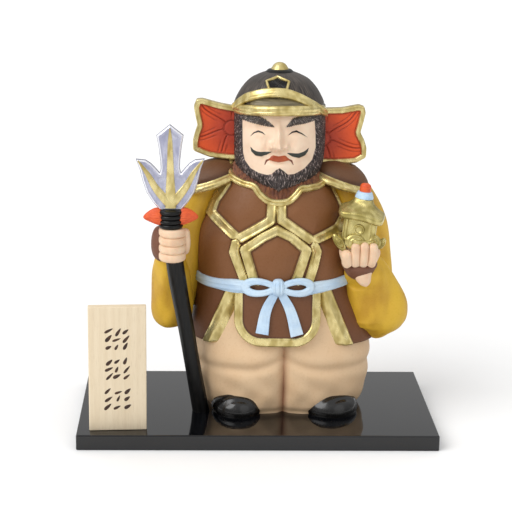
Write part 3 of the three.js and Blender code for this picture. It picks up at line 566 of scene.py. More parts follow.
def plate_grid(low, high, edges, border, corner=0.0, bevel=0, rows=80, columns=100):
    """A slab hanging on the skirt between two edges. With round lower corners its rim is measured along
    their radius. Its outer and inner faces draw together at the rim, and the border rises outside a line
    at its own width from the rim. A bevel of 1 or -1 slopes the slab away, all gilt, towards its first or
    last edge."""
    z = low + (high - low) * (1 + crowded(rows, 0.75)) / 2
    first, last = edges(z)
    z, s = np.meshgrid(z, crowded(columns, 0.75), indexing="ij")
    a = first[:, None] + (last - first)[:, None] * (1 + s) / 2
    base = body_point(skirt_rows, z, a)
    step = np.linalg.norm(np.diff(base, axis=1), axis=-1)
    run = np.concatenate([np.zeros((rows, 1)), np.cumsum(step, axis=1)], axis=1)
    foot, side = z - low, np.minimum(run, run[:, -1:] - run)
    if corner:
        drop = (corner - foot).clip(0) / corner
        across = side + corner * (1 - np.sqrt((1 - drop**2).clip(0)))
        round_part = (across < corner) & (foot < corner)
        away = corner - np.hypot(corner - across, corner - foot)
        rim = np.where(round_part, away, np.minimum(across, foot)).clip(0)
    else:
        rim = np.minimum(side, foot)
    near = run if bevel > 0 else run[:, -1:] - run
    slope_wide, slope_deep, gilt_wide = 5.2, 6.0, 11.0
    slope = slope_deep * (1 - near / slope_wide).clip(0) ** 0.9 if bevel else 0 * near
    gilt = border - (rim if corner else side)
    if bevel:
        gilt = np.maximum(gilt_wide - near, border - (run[:, -1:] - near))
    radius, thick = 1.9, 8.5 if bevel else 4.5
    turned = radius - np.sqrt((radius**2 - (radius - rim.clip(0, radius)) ** 2).clip(0))
    raised = 1.1 * ease(gilt, -0.5, 0.4) + 0.36 * bump(gilt - 1.1, 0.4)
    raised += 0.9 * (1 - bump(np.minimum(gilt, 0), 9))
    outer = body_point(skirt_rows, z, a, raised - turned - slope)
    inner = body_point(skirt_rows, z, a, turned - thick)
    under = np.where(near < gilt_wide, 4.0, -4.0) if bevel else np.full_like(gilt, border)
    return slab(outer, inner, gilt, under)


def apron_edges(z):
    """The apron's two edges, its half width to each side of its middle."""
    half = apron_half(z)
    return skirt_angle(apron_middle - half, z), skirt_angle(apron_middle + half, z)


def left_edges(z):
    """The left flap's edges: in front a line that runs outwards as it drops, and upright towards the
    back."""
    return skirt_angle(17.5 + 0.425 * (88 - z), z), np.full_like(z, math.radians(140))


def right_edges(z):
    """The right flap's edges: upright towards the back, and in front a line that runs outwards as it
    drops."""
    return np.full_like(z, -math.radians(140)), skirt_angle(-23.5 - 0.456 * (88 - z), z)


def back_edges(z):
    """The back panel's edges, both upright and as far from the middle of the back."""
    return np.full_like(z, math.radians(146)), np.full_like(z, math.radians(214))


plate_coat = armour_paint("plate_paint", brown=tone(106, 66, 38))
for name, low, edges, border, corner, bevel in [
    ("apron", apron_low, apron_edges, 5.9, apron_corner, 0),
    ("left_flap", 47.4, left_edges, 5.0, 0, 1),
    ("right_flap", 47.4, right_edges, 5.0, 0, -1),
    ("back_panel", 47.4, back_edges, 5.2, 3.0, 0),
]:
    grid, gilt = plate_grid(low, 89, edges, border, corner, bevel)
    part_of(skin(name, grid, plate_coat, {"gilt": gilt}), "figure")

# Sash and bow
# A pale blue sash wound round the waist, tied in front in a flat bow with two loops and two hanging ends,
# all modelled in the clay and painted matt.

knot_x, knot_z = -3.9, 87.0


def unit(vectors):
    """Each direction drawn to the length 1."""
    return vectors / np.linalg.norm(vectors, axis=-1, keepdims=True)


def carried(path, normals, profile):
    """A closed profile carried along a line of points. For each point it holds pairs of numbers: how far
    across the line, square to the normal there, and how far out along the normal. Both ends are shut."""
    way = unit(np.gradient(path, axis=0))
    across = unit(np.cross(normals, way))
    square = np.cross(way, across)
    return shut(path[:, None] + profile[..., :1] * across[:, None] + profile[..., 1:] * square[:, None])


def oval(half_across, half_out, columns=24, power=1.0):
    """A closed oval profile for each point of a line, squarer where the power is less than 1."""
    a = np.linspace(0, 2 * math.pi, columns + 1)
    across = np.asarray(half_across)[..., None] * rounded(np.sin(a), power)
    out = np.asarray(half_out)[..., None] * rounded(np.cos(a), power)
    return np.stack(np.broadcast_arrays(across, out), axis=-1)


def on_front(rows, x, z, out=0.0):
    """The front of a body at x and z, and its outward normal, from the slopes of the surface across and
    up."""
    def lies(x, z):
        """The point of the oval's front at x."""
        middle, wide, front, _ = along(rows, z)
        run = (np.abs(x - middle) / wide).clip(0, 0.995) ** (2 / body_squareness)
        return np.stack([x, -front * (1 - run) ** (body_squareness / 2), z], axis=-1)

    step = 0.4
    normal = unit(np.cross(lies(x + step, z) - lies(x - step, z), lies(x, z + step) - lies(x, z - step)))
    return lies(x, z) + out * normal, normal


def sash_grid(rows, columns):
    """A flat rounded profile carried round the waist from one loop of the bow to the other, with three
    lengthwise folds, broader towards the loops."""
    first, last = skirt_angle(np.array([13.6, -21.4]), np.array([86.0, 86.0]))
    a, b = rounds(np.linspace(first, last + 2 * math.pi, columns), rows)
    turn = (a + math.pi) % (2 * math.pi) - math.pi
    out = 2.3 * rounded(np.cos(b), 0.7) + 0.4
    half = 3.5 + 0.9 * bump(turn + 0.5, 0.22) + 0.5 * bump(turn - 0.42, 0.16)
    rise = half * rounded(np.sin(b), 0.8)
    out = out + 0.28 * np.sin(rise * 2.3 + 0.7 * np.sin(3 * a)) * ease(np.cos(b), 0, 0.6)
    level = body_point(skirt_rows, np.full_like(a, 86.0), a, out)
    x = level[..., 0]
    level[..., 2] = 86.4 + 0.1 * (x - 27) * ease(x, 2, 14) * (np.abs(turn) < 1.6) + rise
    return shut(level)


def sash_paint():
    """Matt pale blue, a little deeper in broad level patches."""
    coat = Coat("sash_paint")
    fold = coat.speckle(9, (2, 2, 1), detail=2.0)
    colour = coat.over(coat.rise(fold, 0.3, 0.75), tone(198, 220, 238), tone(172, 200, 228))
    painted, rough, grain = clay(coat, colour, 1.2, 0.04)
    return coat.done(painted, rough, Normal=grain)


def loop_grid(way):
    """One loop of the bow: a flat oval profile carried round a drop-shaped line that starts and ends in
    the knot."""
    t = np.linspace(0.06, 0.94, 110)
    a = 2 * math.pi * t
    x = knot_x + way * (11.2 - 8.6 * np.cos(a))
    z = knot_z - 0.3 + 4.5 * (0.62 + 0.38 * ((1 - np.cos(a)) / 2) ** 0.8) * np.sin(a)
    path, normals = on_front(skirt_rows, x, z, 2.4)
    full = 1.95 + 0.75 * ((1 - np.cos(a)) / 2) ** 3
    profile = oval(full, 1.7 + 0 * a, 28, 0.8)
    profile[..., 1] -= 0.3 * bump(profile[..., 0], 0.5) * (profile[..., 1] > 0)
    return carried(path, normals, profile)


def tail_grid(corners):
    """A hanging end: a flat strip, wider below, with a crease down its middle and a square cut end."""
    corners = np.array(corners, float)
    t = np.linspace(0, 1, 70)
    x, z = along(np.c_[np.linspace(0, 1, len(corners)), corners], t)
    path, normals = on_front(skirt_rows, x, z, 1.9)
    half = 2.4 + 1.7 * t
    profile = oval(half, 1.1 + 0 * t, 40, 0.62)
    beside = np.abs(profile[..., 0]) - half[:, None] * 0.62
    hollow = 0.5 * bump(profile[..., 0], 0.8) + 0.25 * bump(beside, 0.6)
    profile[..., 1] -= hollow * (profile[..., 1] > 0)
    return carried(path, normals, profile)


def knot_grid(rows=48, columns=72):
    """The knot: a fat oval cushion with two upright creases and a waist at each end."""
    u, a = rounds(np.linspace(-1, 1, rows), columns)
    reach = (1 - np.abs(u) ** 2.6).clip(0) ** (1 / 2.4)
    x = 4.1 * reach * rounded(np.sin(a), 0.85)
    deep = 4.0 * reach * rounded(np.cos(a), 0.85)
    deep = deep - 0.7 * (bump(x - 1.3, 0.5) + bump(x + 1.5, 0.5)) * reach * (np.cos(a) > 0) * np.cos(a)
    return np.stack([knot_x + x, -37.4 - deep, knot_z + 5.6 * u], axis=-1)


sash_coat = sash_paint()
part_of(skin("sash", sash_grid(32, 190), sash_coat), "figure")
bow = [
    loop_grid(1),
    loop_grid(-1),
    tail_grid([[-5, 84.5], [-11, 72], [-13.4, 57.4]]),
    tail_grid([[-2.8, 84.5], [3.8, 72], [8.2, 56.6]]),
    knot_grid(),
]
part_of(skin("bow", bow, sash_coat), "figure")

# Collar
# A yoke round the neck with three lobes in front and a gilt rim grooved along its middle. Inside the rim
# a reddish-brown scarf shows its close ribs below the beard.

collar_rows = [
    [-90, 158, 2.5],
    [-73.9, 152.9, 4.2],
    [-51.1, 149.2, 1.6],
    [-35.4, 147.9, 0],
    [-27.4, 143.6, 0],
    [-15.5, 139.7, 0],
    [-3.5, 138.7, 0],
    [10.7, 139.8, 0],
    [20, 143.6, 0],
    [26.7, 146.9, 0],
    [37.1, 147, 0],
    [61.4, 147.9, 1.2],
    [78, 151, 2],
    [90, 155, 2],
]


def collar_line(a, out=0.0):
    """The yoke's edge at an angle: round the neck in plan. In front a table gives its height, with the
    lobes, and how far it is pushed outwards. Behind it drops smoothly to the back's height."""
    turn = (a + math.pi) % (2 * math.pi) - math.pi
    front, push = along(collar_rows, np.degrees(turn).clip(-90, 90))
    out = out + push
    share = (np.abs(turn) / (math.pi / 2) - 1).clip(0, 1)
    end = np.where(turn > 0, 155.0, 158.0)
    z = np.where(np.cos(a) > 0, front, end + (147 - end) * ease(share, 0, 1))
    deep = np.where(np.cos(a) > 0, 28.4 + out, 27 + out)
    return np.stack([-3 + (28 + out) * np.sin(a), -1 - deep * rounded(np.cos(a), 0.85), z], axis=-1)


def yoke_grid(columns=360):
    """A surface from below the yoke's edge up to the neck, ribbed by a wave that runs once across each
    rib."""
    a = np.linspace(0, 2 * math.pi, columns + 1)
    share = np.linspace(0, 1, 24)[:, None, None]
    edge = collar_line(a, -0.8)
    neck = np.stack([-4.4 + 23 * np.sin(a), -1 - 22 * np.cos(a), 159 + 0 * a], axis=-1)
    lift = np.array([0, 0, 1]) * 2.2 * np.sin(share * math.pi)
    face = edge + (neck - edge) * share + lift
    rib = 0.35 * np.sin(a * 62 + 1.2 * np.sin(a * 5))[None, :, None] * ease(share, 0.02, 0.15)
    out = np.stack([np.sin(a), -np.cos(a), 0.8 + 0 * a], axis=-1)
    under = np.stack([collar_line(a, -7) - [0, 0, 9], collar_line(a, -1) - [0, 0, 2.5]])
    return shut(np.concatenate([under, face + rib * out]))


def rim_grid(columns=220):
    """The rim: a profile with two rounded ridges and a groove between, carried round the yoke's edge."""
    a = np.linspace(0, 2 * math.pi, columns + 1)
    path = collar_line(a, -0.4)
    normals = np.stack([np.sin(a) * 0.86, -np.cos(a) * 0.86, 0.5 + 0 * a], axis=-1)
    b = np.linspace(0, 2 * math.pi, 41)
    across, out = 2.3 * rounded(np.sin(b), 0.8), 2.2 * rounded(np.cos(b), 0.7)
    out = out - 0.7 * bump(across, 0.5) * (out > 0)
    way = (np.roll(path[:-1], -1, axis=0) - np.roll(path[:-1], 1, axis=0))[np.r_[0:columns, 0]]
    side = unit(np.cross(normals, way))
    square = unit(np.cross(way, side))
    return path[:, None] + across[:, None] * side[:, None] + out[:, None] * square[:, None]


def scarf_paint():
    """Matt reddish brown, streaked along the ribs."""
    coat = Coat("scarf_paint")
    thread = coat.speckle(2, (1, 1, 2.5), detail=4.0)
    colour = coat.over(coat.rise(thread, 0.35, 0.65), tone(136, 86, 58), tone(92, 54, 40))
    return coat.done(colour, 0.7, Normal=coat.relief(thread, 0.06))


def gold_paint(name, light=gold_light, dark=gold_dark):
    """Satin gold paint all over, in soft clouds, darker in the larger ones."""
    coat = Coat(name)
    gold, satin, smooth = satin_gold(coat, light, dark)
    patch = coat.speckle(9, detail=2.0)
    gold = coat.over(coat.rise(patch, 0.45, 0.72, 0.0, 0.3), gold, (0.76, 0.68, 0.52, 1), "MULTIPLY")
    return coat.done(gold, satin, Metallic=gold_shine, Normal=smooth)


gold_coat = gold_paint("gold_paint")
part_of(skin("scarf", yoke_grid(), scarf_paint()), "figure")
part_of(skin("collar_rim", rim_grid(), gold_coat), "figure")

# Shoulder caps
# A brown dome over each shoulder with a flared gilt rim, half hidden by the wings of the helmet. Both lean
# outwards and cover the tops of the sleeves.


def cap_grid(way, columns=120):
    """A profile from the underside, out round the flared rim and over the dome, turned about a leaning
    axis."""
    rows = [[0, 16, 14, -3.2], [1, 19.4, 17.6, -3.6], [2, 21.9, 19.9, -2.2], [3, 21.4, 19.4, 0],
            [4, 19, 17.2, 1.6], [5, 17.6, 16, 4.6], [6, 13.6, 12.4, 8.2], [7, 8, 7.2, 10.8],
            [8, 1.2, 1.1, 11.9]]
    t, a = rounds(np.linspace(0, 8, 60), columns)
    wide, deep, rise = along(rows, t)
    tilt = way * math.radians(19)
    across = wide * np.sin(a)
    x = -4.8 + way * 40.5 + across * math.cos(tilt) + rise * math.sin(tilt)
    z = 148 - across * math.sin(tilt) + rise * math.cos(tilt)
    grid = np.stack([x, 0.5 - deep * np.cos(a), z], axis=-1)
    return shut(grid, {"gilt": 4.1 - t})


cap_coat = armour_paint("shoulder_paint", brown=tone(104, 70, 44))
for side, way in (("left", 1), ("right", -1)):
    grid, marks = cap_grid(way)
    part_of(skin(side + "_shoulder_cap", grid, cap_coat, marks), "figure")

# Sleeves
# Full yellow sleeves: each hangs from the shoulder to the elbow and turns up to the wrist as a loose bag,
# with broad soft folds in the clay.

left_upper_arm = [
    [37, 1, 152, 10, 12],
    [43.4, 2, 138, 13.4, 15],
    [51.4, 3, 118, 16, 16.4],
    [55, 3, 98, 15.4, 16.6],
    [58, 0, 80, 14, 17],
    [60, -2, 66, 13, 14],
]
left_bag = [
    [58, -6, 50.6, 4, 4],
    [59, -7, 52.6, 12, 12],
    [60.2, -8, 59, 18.8, 18],
    [60.2, -10, 68, 20.2, 19.6],
    [56.4, -15, 82, 16.8, 17],
    [52.4, -21, 92, 14, 13.6],
    [48.4, -27, 97, 10.4, 10],
    [47.4, -29, 99.6, 8, 8],
]
right_upper_arm = [
    [-45, 1, 148.4, 9.5, 11],
    [-54, 2, 138, 13, 15],
    [-62, 2, 118, 14.4, 16],
    [-65.6, 1, 98, 15.2, 16],
    [-67, 0, 80, 14.6, 16],
    [-68, -2, 66, 12, 13],
]
right_bag = [
    [-69, -8, 53.4, 4, 4],
    [-69.4, -8, 55.6, 9, 10],
    [-70, -9, 62, 12.4, 14],
    [-69.8, -11, 72, 13.4, 15],
    [-70.4, -16, 86, 12, 13.4],
    [-71.4, -21, 96, 10.4, 11],
    [-72.4, -25.6, 104, 8.6, 8.6],
    [-72.6, -28, 109, 6.4, 6.4],
]


def through(rows, t):
    """The smooth curve of along, through rows that lie at 0, 1, 2 and so on."""
    return along(np.c_[np.arange(len(rows)), np.array(rows, float)], t)


def limb_grid(rows, count, columns, folds=0.0, phase=0.0):
    """Ovals set square to a smooth line through the rows' points. Waves that twist slowly round the line
    lift and sink the surface as folds."""
    t = np.linspace(0, len(rows) - 1, count)
    x, y, z, wide, deep = through(rows, t)
    path = np.stack([x, y, z], axis=-1)
    way = unit(np.gradient(path, axis=0))
    side = unit(np.cross(way, [0.0, -1.0, 0.0]))
    square = np.cross(side, way)
    a = np.linspace(0, 2 * math.pi, columns + 1)[None]
    u = t[:, None]
    wave = np.sin(3 * a + 1.1 * u + phase) * 0.6 + np.sin(5 * a - 1.7 * u + 2 * phase) * 0.4
    lift = folds * wave * ease(u, 0.4, 1.6) * ease(len(rows) - 1 - u, 0.2, 1.2)
    across = (wide[:, None] + lift) * np.sin(a)
    out = (deep[:, None] + lift) * np.cos(a)
    return shut(path[:, None] + across[..., None] * side[:, None] + out[..., None] * square[:, None])


def sleeve_paint():
    """Matt yellow, browner in broad soft patches that run lengthwise."""
    coat = Coat("sleeve_paint")
    fold = coat.speckle(16, (1, 1, 2.5), detail=2.0)
    colour = coat.over(coat.rise(fold, 0.35, 0.7), tone(218, 175, 50), tone(186, 141, 36))
    painted, rough, grain = clay(coat, colour, 1.3, 0.05)
    return coat.done(painted, rough, Normal=grain)


sleeve_coat = sleeve_paint()
left_sleeve = [limb_grid(left_upper_arm, 60, 84, 0.7, 0.4), limb_grid(left_bag, 96, 112, 1.2, 1.0)]
right_sleeve = [limb_grid(right_upper_arm, 60, 84, 0.6, 2.0), limb_grid(right_bag, 96, 108, 0.9, 2.6)]
part_of(skin("left_sleeve", left_sleeve, sleeve_coat), "figure")
part_of(skin("right_sleeve", right_sleeve, sleeve_coat), "figure")

# Trident
# A slightly bowed wooden pole painted satin black, with a turned black collar, two red tassels and a
# three-pronged silver blade whose faces slope up to a gold inlay along the middle of each prong.

shaft_rows = [
    [0, -51.4, -22, 5.5],
    [30, -56.4, -26.6, 5],
    [60, -61.2, -31, 5.1],
    [90, -66.2, -35, 5.5],
    [112, -69, -37, 5.4],
    [128, -69.8, -38, 5.2],
]
head_foot, head_lean, blade_rise = np.array([-70.4, -38.4, 126.0]), math.radians(0.5), 10.4


def shaft_grid(rows=84, columns=44):
    """Level circles along a bowed line, with shallow lengthwise marks of the brush."""
    z, a = rounds(np.linspace(0, shaft_rows[-1][0], rows), columns)
    x, y, radius = along(shaft_rows, z)
    radius = radius + 0.06 * np.sin(9 * a + z * 0.02) + 0.04 * np.sin(17 * a - z * 0.03)
    return shut(np.stack([x + radius * np.sin(a), y - radius * np.cos(a), z], axis=-1))


def on_head(points):
    """Leans points made about the upright with the blade and sets them on the shaft's top."""
    c, s = math.cos(head_lean), math.sin(head_lean)
    turned = np.stack([points[..., 0] * c - points[..., 2] * s, points[..., 1],
                       points[..., 0] * s + points[..., 2] * c], axis=-1)
    return turned + head_foot


def turned_grid(rows, columns=72, power=1.0, flutes=0, depth=0.0):
    """A profile of heights and radii turned about the upright, with flutes pressed in round it."""
    rows = np.array(rows, float)
    a = np.linspace(0, 2 * math.pi, columns + 1)[None]
    radius = rows[:, 1:2] * (1 - depth * (1 - np.cos(flutes * a)) / 2)
    grid = np.stack([radius * np.sin(a), -radius * np.cos(a), rows[:, :1] + 0 * a], axis=-1)
    return shut(grid)


def beads(low, high, radius, swell, count, steps=9):
    """A profile of round beads one above the other: each is a half circle of the swell on the radius."""
    t = np.linspace(0, count, count * steps + 1)
    return np.c_[low + (high - low) * t / count, radius + swell * np.abs(np.sin(math.pi * t)) ** 0.6]


def satin_black():
    """Satin black paint with lengthwise streaks."""
    coat = Coat("shaft_paint")
    streak = coat.speckle(1.6, (1, 1, 12), detail=4.0)
    colour = coat.over(coat.rise(streak, 0.4, 0.8), tone(5, 5, 6), tone(30, 28, 26))
    rough = coat.rise(streak, 0.3, 0.7, 0.28, 0.42)
    return coat.done(colour, rough, Normal=coat.relief(streak, 0.05), Specular_IOR_Level=0.3)


def tassel_grid(way):
    """A rounded cone lying outwards, ribbed lengthwise like bound threads."""
    rows = [[0, 4.4, 4.4, 2.6], [0.5, 5, 5.3, 4.4], [1, 6.6, 6.1, 5.4], [2, 9.4, 6.6, 5.1],
            [3, 12.2, 6.6, 3.9], [4, 14.8, 6.3, 2.4], [5, 16.4, 6.0, 1.1], [5.3, 16.9, 6.0, 0.2]]
    t, a = rounds(np.linspace(0, 5.3, 44), 120)
    x, z, radius = along(rows, t)
    radius = radius * (1 - 0.07 * (0.5 - 0.5 * np.cos(22 * a)) * ease(t, 0.3, 1.2))
    return shut(np.stack([way * x, -radius * 0.86 * np.cos(a), z + radius * np.sin(a)], axis=-1))


def tassel_paint():
    """Orange-red paint streaked like thread."""
    coat = Coat("tassel_paint")
    thread = coat.speckle(1.6, (4, 1, 1), detail=3.0)
    colour = coat.over(coat.rise(thread, 0.3, 0.75), tone(228, 98, 48), tone(202, 74, 36))
    return coat.done(colour, 0.5, Normal=coat.relief(thread, 0.05))


blade_edge = [[0, 52.8], [8.2, 46.2], [7, 39.4], [6, 31], [5.8, 26], [6.4, 23.2], [8.6, 25.8], [11.6, 29],
              [15, 31.2], [20.8, 31.8], [18.6, 25.6], [17, 18.8], [14.6, 11.2], [10.8, 5.2], [6.6, 0], [0, 0]]
blade_ridge = [[0, 50.6], [0, 44], [0, 38], [0, 31], [0, 20], [0, 9.5], [7.4, 13.4], [11.2, 18.8],
               [14.8, 24.6], [19.4, 31], [14.8, 24.6], [11.2, 18.8], [7.4, 13.4], [0, 9.5], [0, 5], [0, 0]]


def within(x, z, outline):
    """How far inside a closed outline each place lies, below 0 outside: the distance to its nearest run,
    with the sign told by how often a level ray from the place crosses the outline."""
    outline = np.array(outline, float)
    away, crossed = np.full(x.shape, 1e3), np.zeros(x.shape, bool)
    for (ax, az), (bx, bz) in zip(outline, np.roll(outline, -1, axis=0)):
        run_x, run_z = bx - ax, bz - az
        length = max(run_x**2 + run_z**2, 1e-9)
        share = (((x - ax) * run_x + (z - az) * run_z) / length).clip(0, 1)
        away = np.minimum(away, np.hypot(x - ax - share * run_x, z - az - share * run_z))
        if az != bz:
            crossed ^= ((az > z) != (bz > z)) & (x < ax + (z - az) * run_x / run_z)
    return np.where(crossed, away, -away)


def straight(corners, t):
    """Places on the straight runs between corners, which lie at 0, 1, 2 and so on."""
    corners = np.array(corners, float)
    return np.stack([np.interp(t, np.arange(len(corners)), corners[:, k]) for k in (0, 1)], axis=-1)


def blade_grid(way, rows=16, per_run=9):
    """Half of the blade: each place of its outline is joined to a place on the ridge along the middle of
    its prong. The faces are nearly flat and fall steeply in a bevel at the edge, alike on both sides.
    Hands back how far each place lies from the edge too."""
    t = np.linspace(0, len(blade_edge) - 1, per_run * (len(blade_edge) - 1) + 1)
    edge, ridge = straight(blade_edge, t), straight(blade_ridge, t)
    share = (1 - (1 - np.linspace(0, 1, rows)) ** 1.8)[:, None, None]
    flat = ridge + (edge - ridge) * share
    outline = np.concatenate([edge, edge[::-1] * [-1, 1]])
    away = within(flat[..., 0], flat[..., 1], outline).clip(0)
    away[-1] = 0
    deep = 0.8 + 1.1 * ease(away, 0, 1.1) - 0.35 * bump(away - 2.1, 0.7)
    front = np.stack([way * flat[..., 0], -deep, flat[..., 1]], axis=-1)
    behind = front * [1, -1, 1]
    return np.concatenate([front, behind[::-1]]), np.concatenate([away, away[::-1]])


def silver_paint():
    """Silver paint, greyer over the faces, with a painted highlight along the bevels and dark on the very
    edge.
    """
    coat = Coat("silver_paint")
    cloud = coat.speckle(4, (1, 1, 2), detail=2.0)
    face = coat.over(coat.rise(cloud, 0.3, 0.7), tone(190, 191, 208), tone(158, 159, 182))
    inside = coat.mark("from_edge")
    # painted highlight: near white along the bevel, a little in from the edge
    bevel_highlight = coat.over(coat.rise(inside, 0.8, 1.3), tone(240, 240, 246), face)
    colour = coat.over(coat.rise(inside, 0.1, 0.4), tone(120, 121, 140), bevel_highlight)
    rough = coat.rise(cloud, 0.3, 0.7, 0.26, 0.36)
    return coat.done(colour, rough, Metallic=0.45, Normal=coat.relief(cloud, 0.02))


def inlay_grid(route):
    """A gold strip let into the blade's front: a low rounded profile along a line whose half width
    changes."""
    t = np.linspace(0, len(route) - 1, 60)
    x, z, half = through(route, t)
    path = on_head(np.stack([x, -1.75 + 0 * x, z + blade_rise], axis=-1))
    forward = np.tile([0.0, -1.0, 0.0], (len(t), 1))
    return carried(path, forward, oval(half, 0.9 * (half / 2).clip(0.4, 1), 20, 0.8))


trident_black = satin_black()
part_of(skin("shaft", shaft_grid(), trident_black), "trident")
collar_profile = np.concatenate([[[-1, 5.6]], beads(-0.6, 10.6, 6.5, 1.0, 4), [[10.9, 5.4]]])
part_of(skin("shaft_collar", on_head(turned_grid(collar_profile)), trident_black), "trident")
tassels = [on_head(tassel_grid(way)) for way in (1, -1)]
part_of(skin("tassels", tassels, tassel_paint()), "trident")
(half, away), (mirrored, mirrored_away) = blade_grid(1), blade_grid(-1)
blade = on_head(np.concatenate([half, mirrored[:, ::-1]], axis=1) + [0, 0, blade_rise])
from_edge = np.concatenate([away, mirrored_away[:, ::-1]], axis=1)
part_of(skin("blade", blade, silver_paint(), {"from_edge": from_edge}, crease=30), "trident")
inlays = [
    inlay_grid([[0, 50.4, 0.4], [0, 43, 1.4], [0, 32, 1.9], [0, 21, 2.4], [0, 12, 3.0], [0, 5, 3.3],
                [0, 1.4, 3.3]]),
    inlay_grid([[19.6, 31, 0.4], [14, 23, 1.5], [9.6, 15, 2.2], [4.8, 8.6, 2.6], [1, 3.4, 2.2]]),
    inlay_grid([[-19.6, 31, 0.4], [-14, 23, 1.5], [-9.6, 15, 2.2], [-4.8, 8.6, 2.6], [-1, 3.4, 2.2]]),
]
part_of(skin("blade_inlay", inlays, gold_coat), "trident")

# Hands
# The right hand closes round the trident and the left holds the pagoda up on its palm. Plump fingers,
# modelled plainly and painted in the face's skin colour, come out of brown cuffs.


def finger_grid(path, radius, columns=28, power=1.0):
    """A finger: circles, squarer where the power is less than 1, along a line, drawn in to a round end at
    both ends like the end of a sausage."""
    t = np.linspace(0, len(path) - 1, 56)
    line = np.stack(through(path, t), axis=-1)
    gone = np.concatenate([[0], np.cumsum(np.linalg.norm(np.diff(line, axis=0), axis=1))])
    end = np.minimum(gone, gone[-1] - gone) / radius
    full = radius * np.sqrt((1 - (1 - end.clip(0, 1)) ** 2).clip(0.0004))
    way = np.gradient(line, axis=0)
    level = np.abs(way[:, 2]).mean() < 0.5 * np.linalg.norm(way, axis=1).mean()
    normals = np.tile([0.0, 0.0, 1.0] if level else [0.0, -1.0, 0.0], (len(t), 1))
    return carried(line, normals, oval(full, full, columns, power))


def skin_paint():
    """Flesh-coloured paint, matt and even, a little warmer in patches."""
    coat = Coat("skin_paint")
    warm = coat.speckle(9, detail=2.0)
    colour = coat.over(coat.rise(warm, 0.35, 0.75), tone(232, 200, 168), tone(222, 184, 150))
    fine = coat.speckle(0.8, detail=4.0)
    rough, pores = coat.rise(fine, 0.3, 0.7, 0.5, 0.62), coat.relief(fine, 0.02)
    return coat.done(colour, rough, Normal=pores, Subsurface_Weight=0.08, Subsurface_Scale=0.002)


def cuff_paint():
    """Matt brown paint on the clay."""
    coat = Coat("cuff_paint")
    painted, rough, grain = clay(coat, tone(112, 72, 52), 1.2, 0.06)
    return coat.done(painted, rough, Normal=grain)


skin_coat, cuff_coat = skin_paint(), cuff_paint()
fist_arc = np.radians(np.linspace(-112, 100, 13))
fist_x, fist_y = -69.5 + 5.7 * np.sin(fist_arc), -37 - 7.3 * np.cos(fist_arc)
fist = [
    finger_grid(np.c_[fist_x, fist_y, np.full(13, 114.8 + n * 5.1)], 2.7, power=0.66)
    for n in (-1.5, -0.5, 0.5, 1.5)
]
fist.append(limb_grid([[-69.6, -30, 103.5, 3, 3], [-69.8, -31.4, 106, 7.4, 6.6], [-69.6, -32.4, 114, 8, 7.4],
                       [-69.4, -32.4, 121.6, 7.6, 6.8], [-69.2, -32, 125, 4, 3]], 50, 60))
thumb = [[-62.4, -31, 107], [-61.2, -34.6, 113.6], [-61.4, -36.4, 119.4], [-62, -37.2, 124.4]]
fist.append(finger_grid(thumb, 2.8))
part_of(skin("right_hand", fist, skin_coat), "figure")
right_cuff = limb_grid([[-74, -28, 104.4, 5, 5], [-74.6, -29, 107.4, 7.6, 8.2], [-74.6, -29.6, 114.5, 8.2, 9],
                        [-74, -29.8, 121, 7, 7.6], [-73.4, -29.8, 124.2, 3, 3]], 60, 70)
part_of(skin("right_cuff", right_cuff, cuff_coat), "figure")
palm_x = 46.6
open_hand = []
for x, top, radius in [(37.4, 112.6, 3.3), (42.9, 117.4, 2.75), (48.3, 117.8, 2.75), (53.8, 117.2, 2.75)]:
    root = [palm_x + (x - palm_x) * 0.82, -38.4, 102.2]
    knuckle = [palm_x + (x - palm_x) * 0.92, -40.6, 104.2]
    open_hand.append(finger_grid([root, knuckle, [x, -42.4, 108.6], [x, -43.4, top]], radius, power=0.8))
open_hand.append(limb_grid([[47, -29, 102.6, 6, 6], [46.8, -30, 103.4, 10.4, 9.2],
                            [46.7, -31, 105.4, 12, 10.4], [46.7, -31.6, 109, 12.8, 10.2],
                            [46.9, -31.4, 112.6, 11.6, 8.4]], 60, 80))
open_hand.append(limb_grid([[51, -35.4, 87.2, 0.3, 0.3], [50.3, -36, 89.8, 3.4, 2.8],
                            [48.8, -36, 94.4, 5.4, 4.2], [48, -35, 99.4, 7, 4.6]], 40, 40))
part_of(skin("left_hand", open_hand, skin_coat), "figure")
left_cuff = limb_grid([[46.6, -29.4, 99.4, 8, 8], [46.6, -30, 99.8, 10.4, 10.6],
                       [46.6, -30.4, 101.2, 11.4, 11.6], [46.6, -30.6, 102.8, 10.2, 10.4]], 40, 80)
part_of(skin("left_cuff", left_cuff, cuff_coat), "figure")

# Pagoda
# A small gilt pagoda on a lotus cup: a square body with corner posts and a round boss in front, a heavy
# concave roof with drooping corners, a pale blue ring above it and a red tip.

pagoda_foot, pagoda_lean, pagoda_spin = np.array([44.7, -31.6, 108.6]), math.radians(6), math.radians(-10)


def on_hand(points):
    """Turns points made about the upright by the pagoda's spin, leans them sideways and sets them on the
    palm."""
    c, s = math.cos(pagoda_spin), math.sin(pagoda_spin)
    x, y, z = points[..., 0], points[..., 1], points[..., 2]
    x, y = x * c - y * s, x * s + y * c
    c, s = math.cos(pagoda_lean), math.sin(pagoda_lean)
    return np.stack([x * c + z * s, y, z * c - x * s], axis=-1) + pagoda_foot


def square_reach(a, power):
    """How far a soft-cornered square of half width 1 reaches at an angle: the inverse of the sum of its
    sine and cosine, each raised to 2 over the power, brought back by that root."""
    n = 2 / power
    return (np.abs(np.sin(a)) ** n + np.abs(np.cos(a)) ** n) ** (-1 / n)


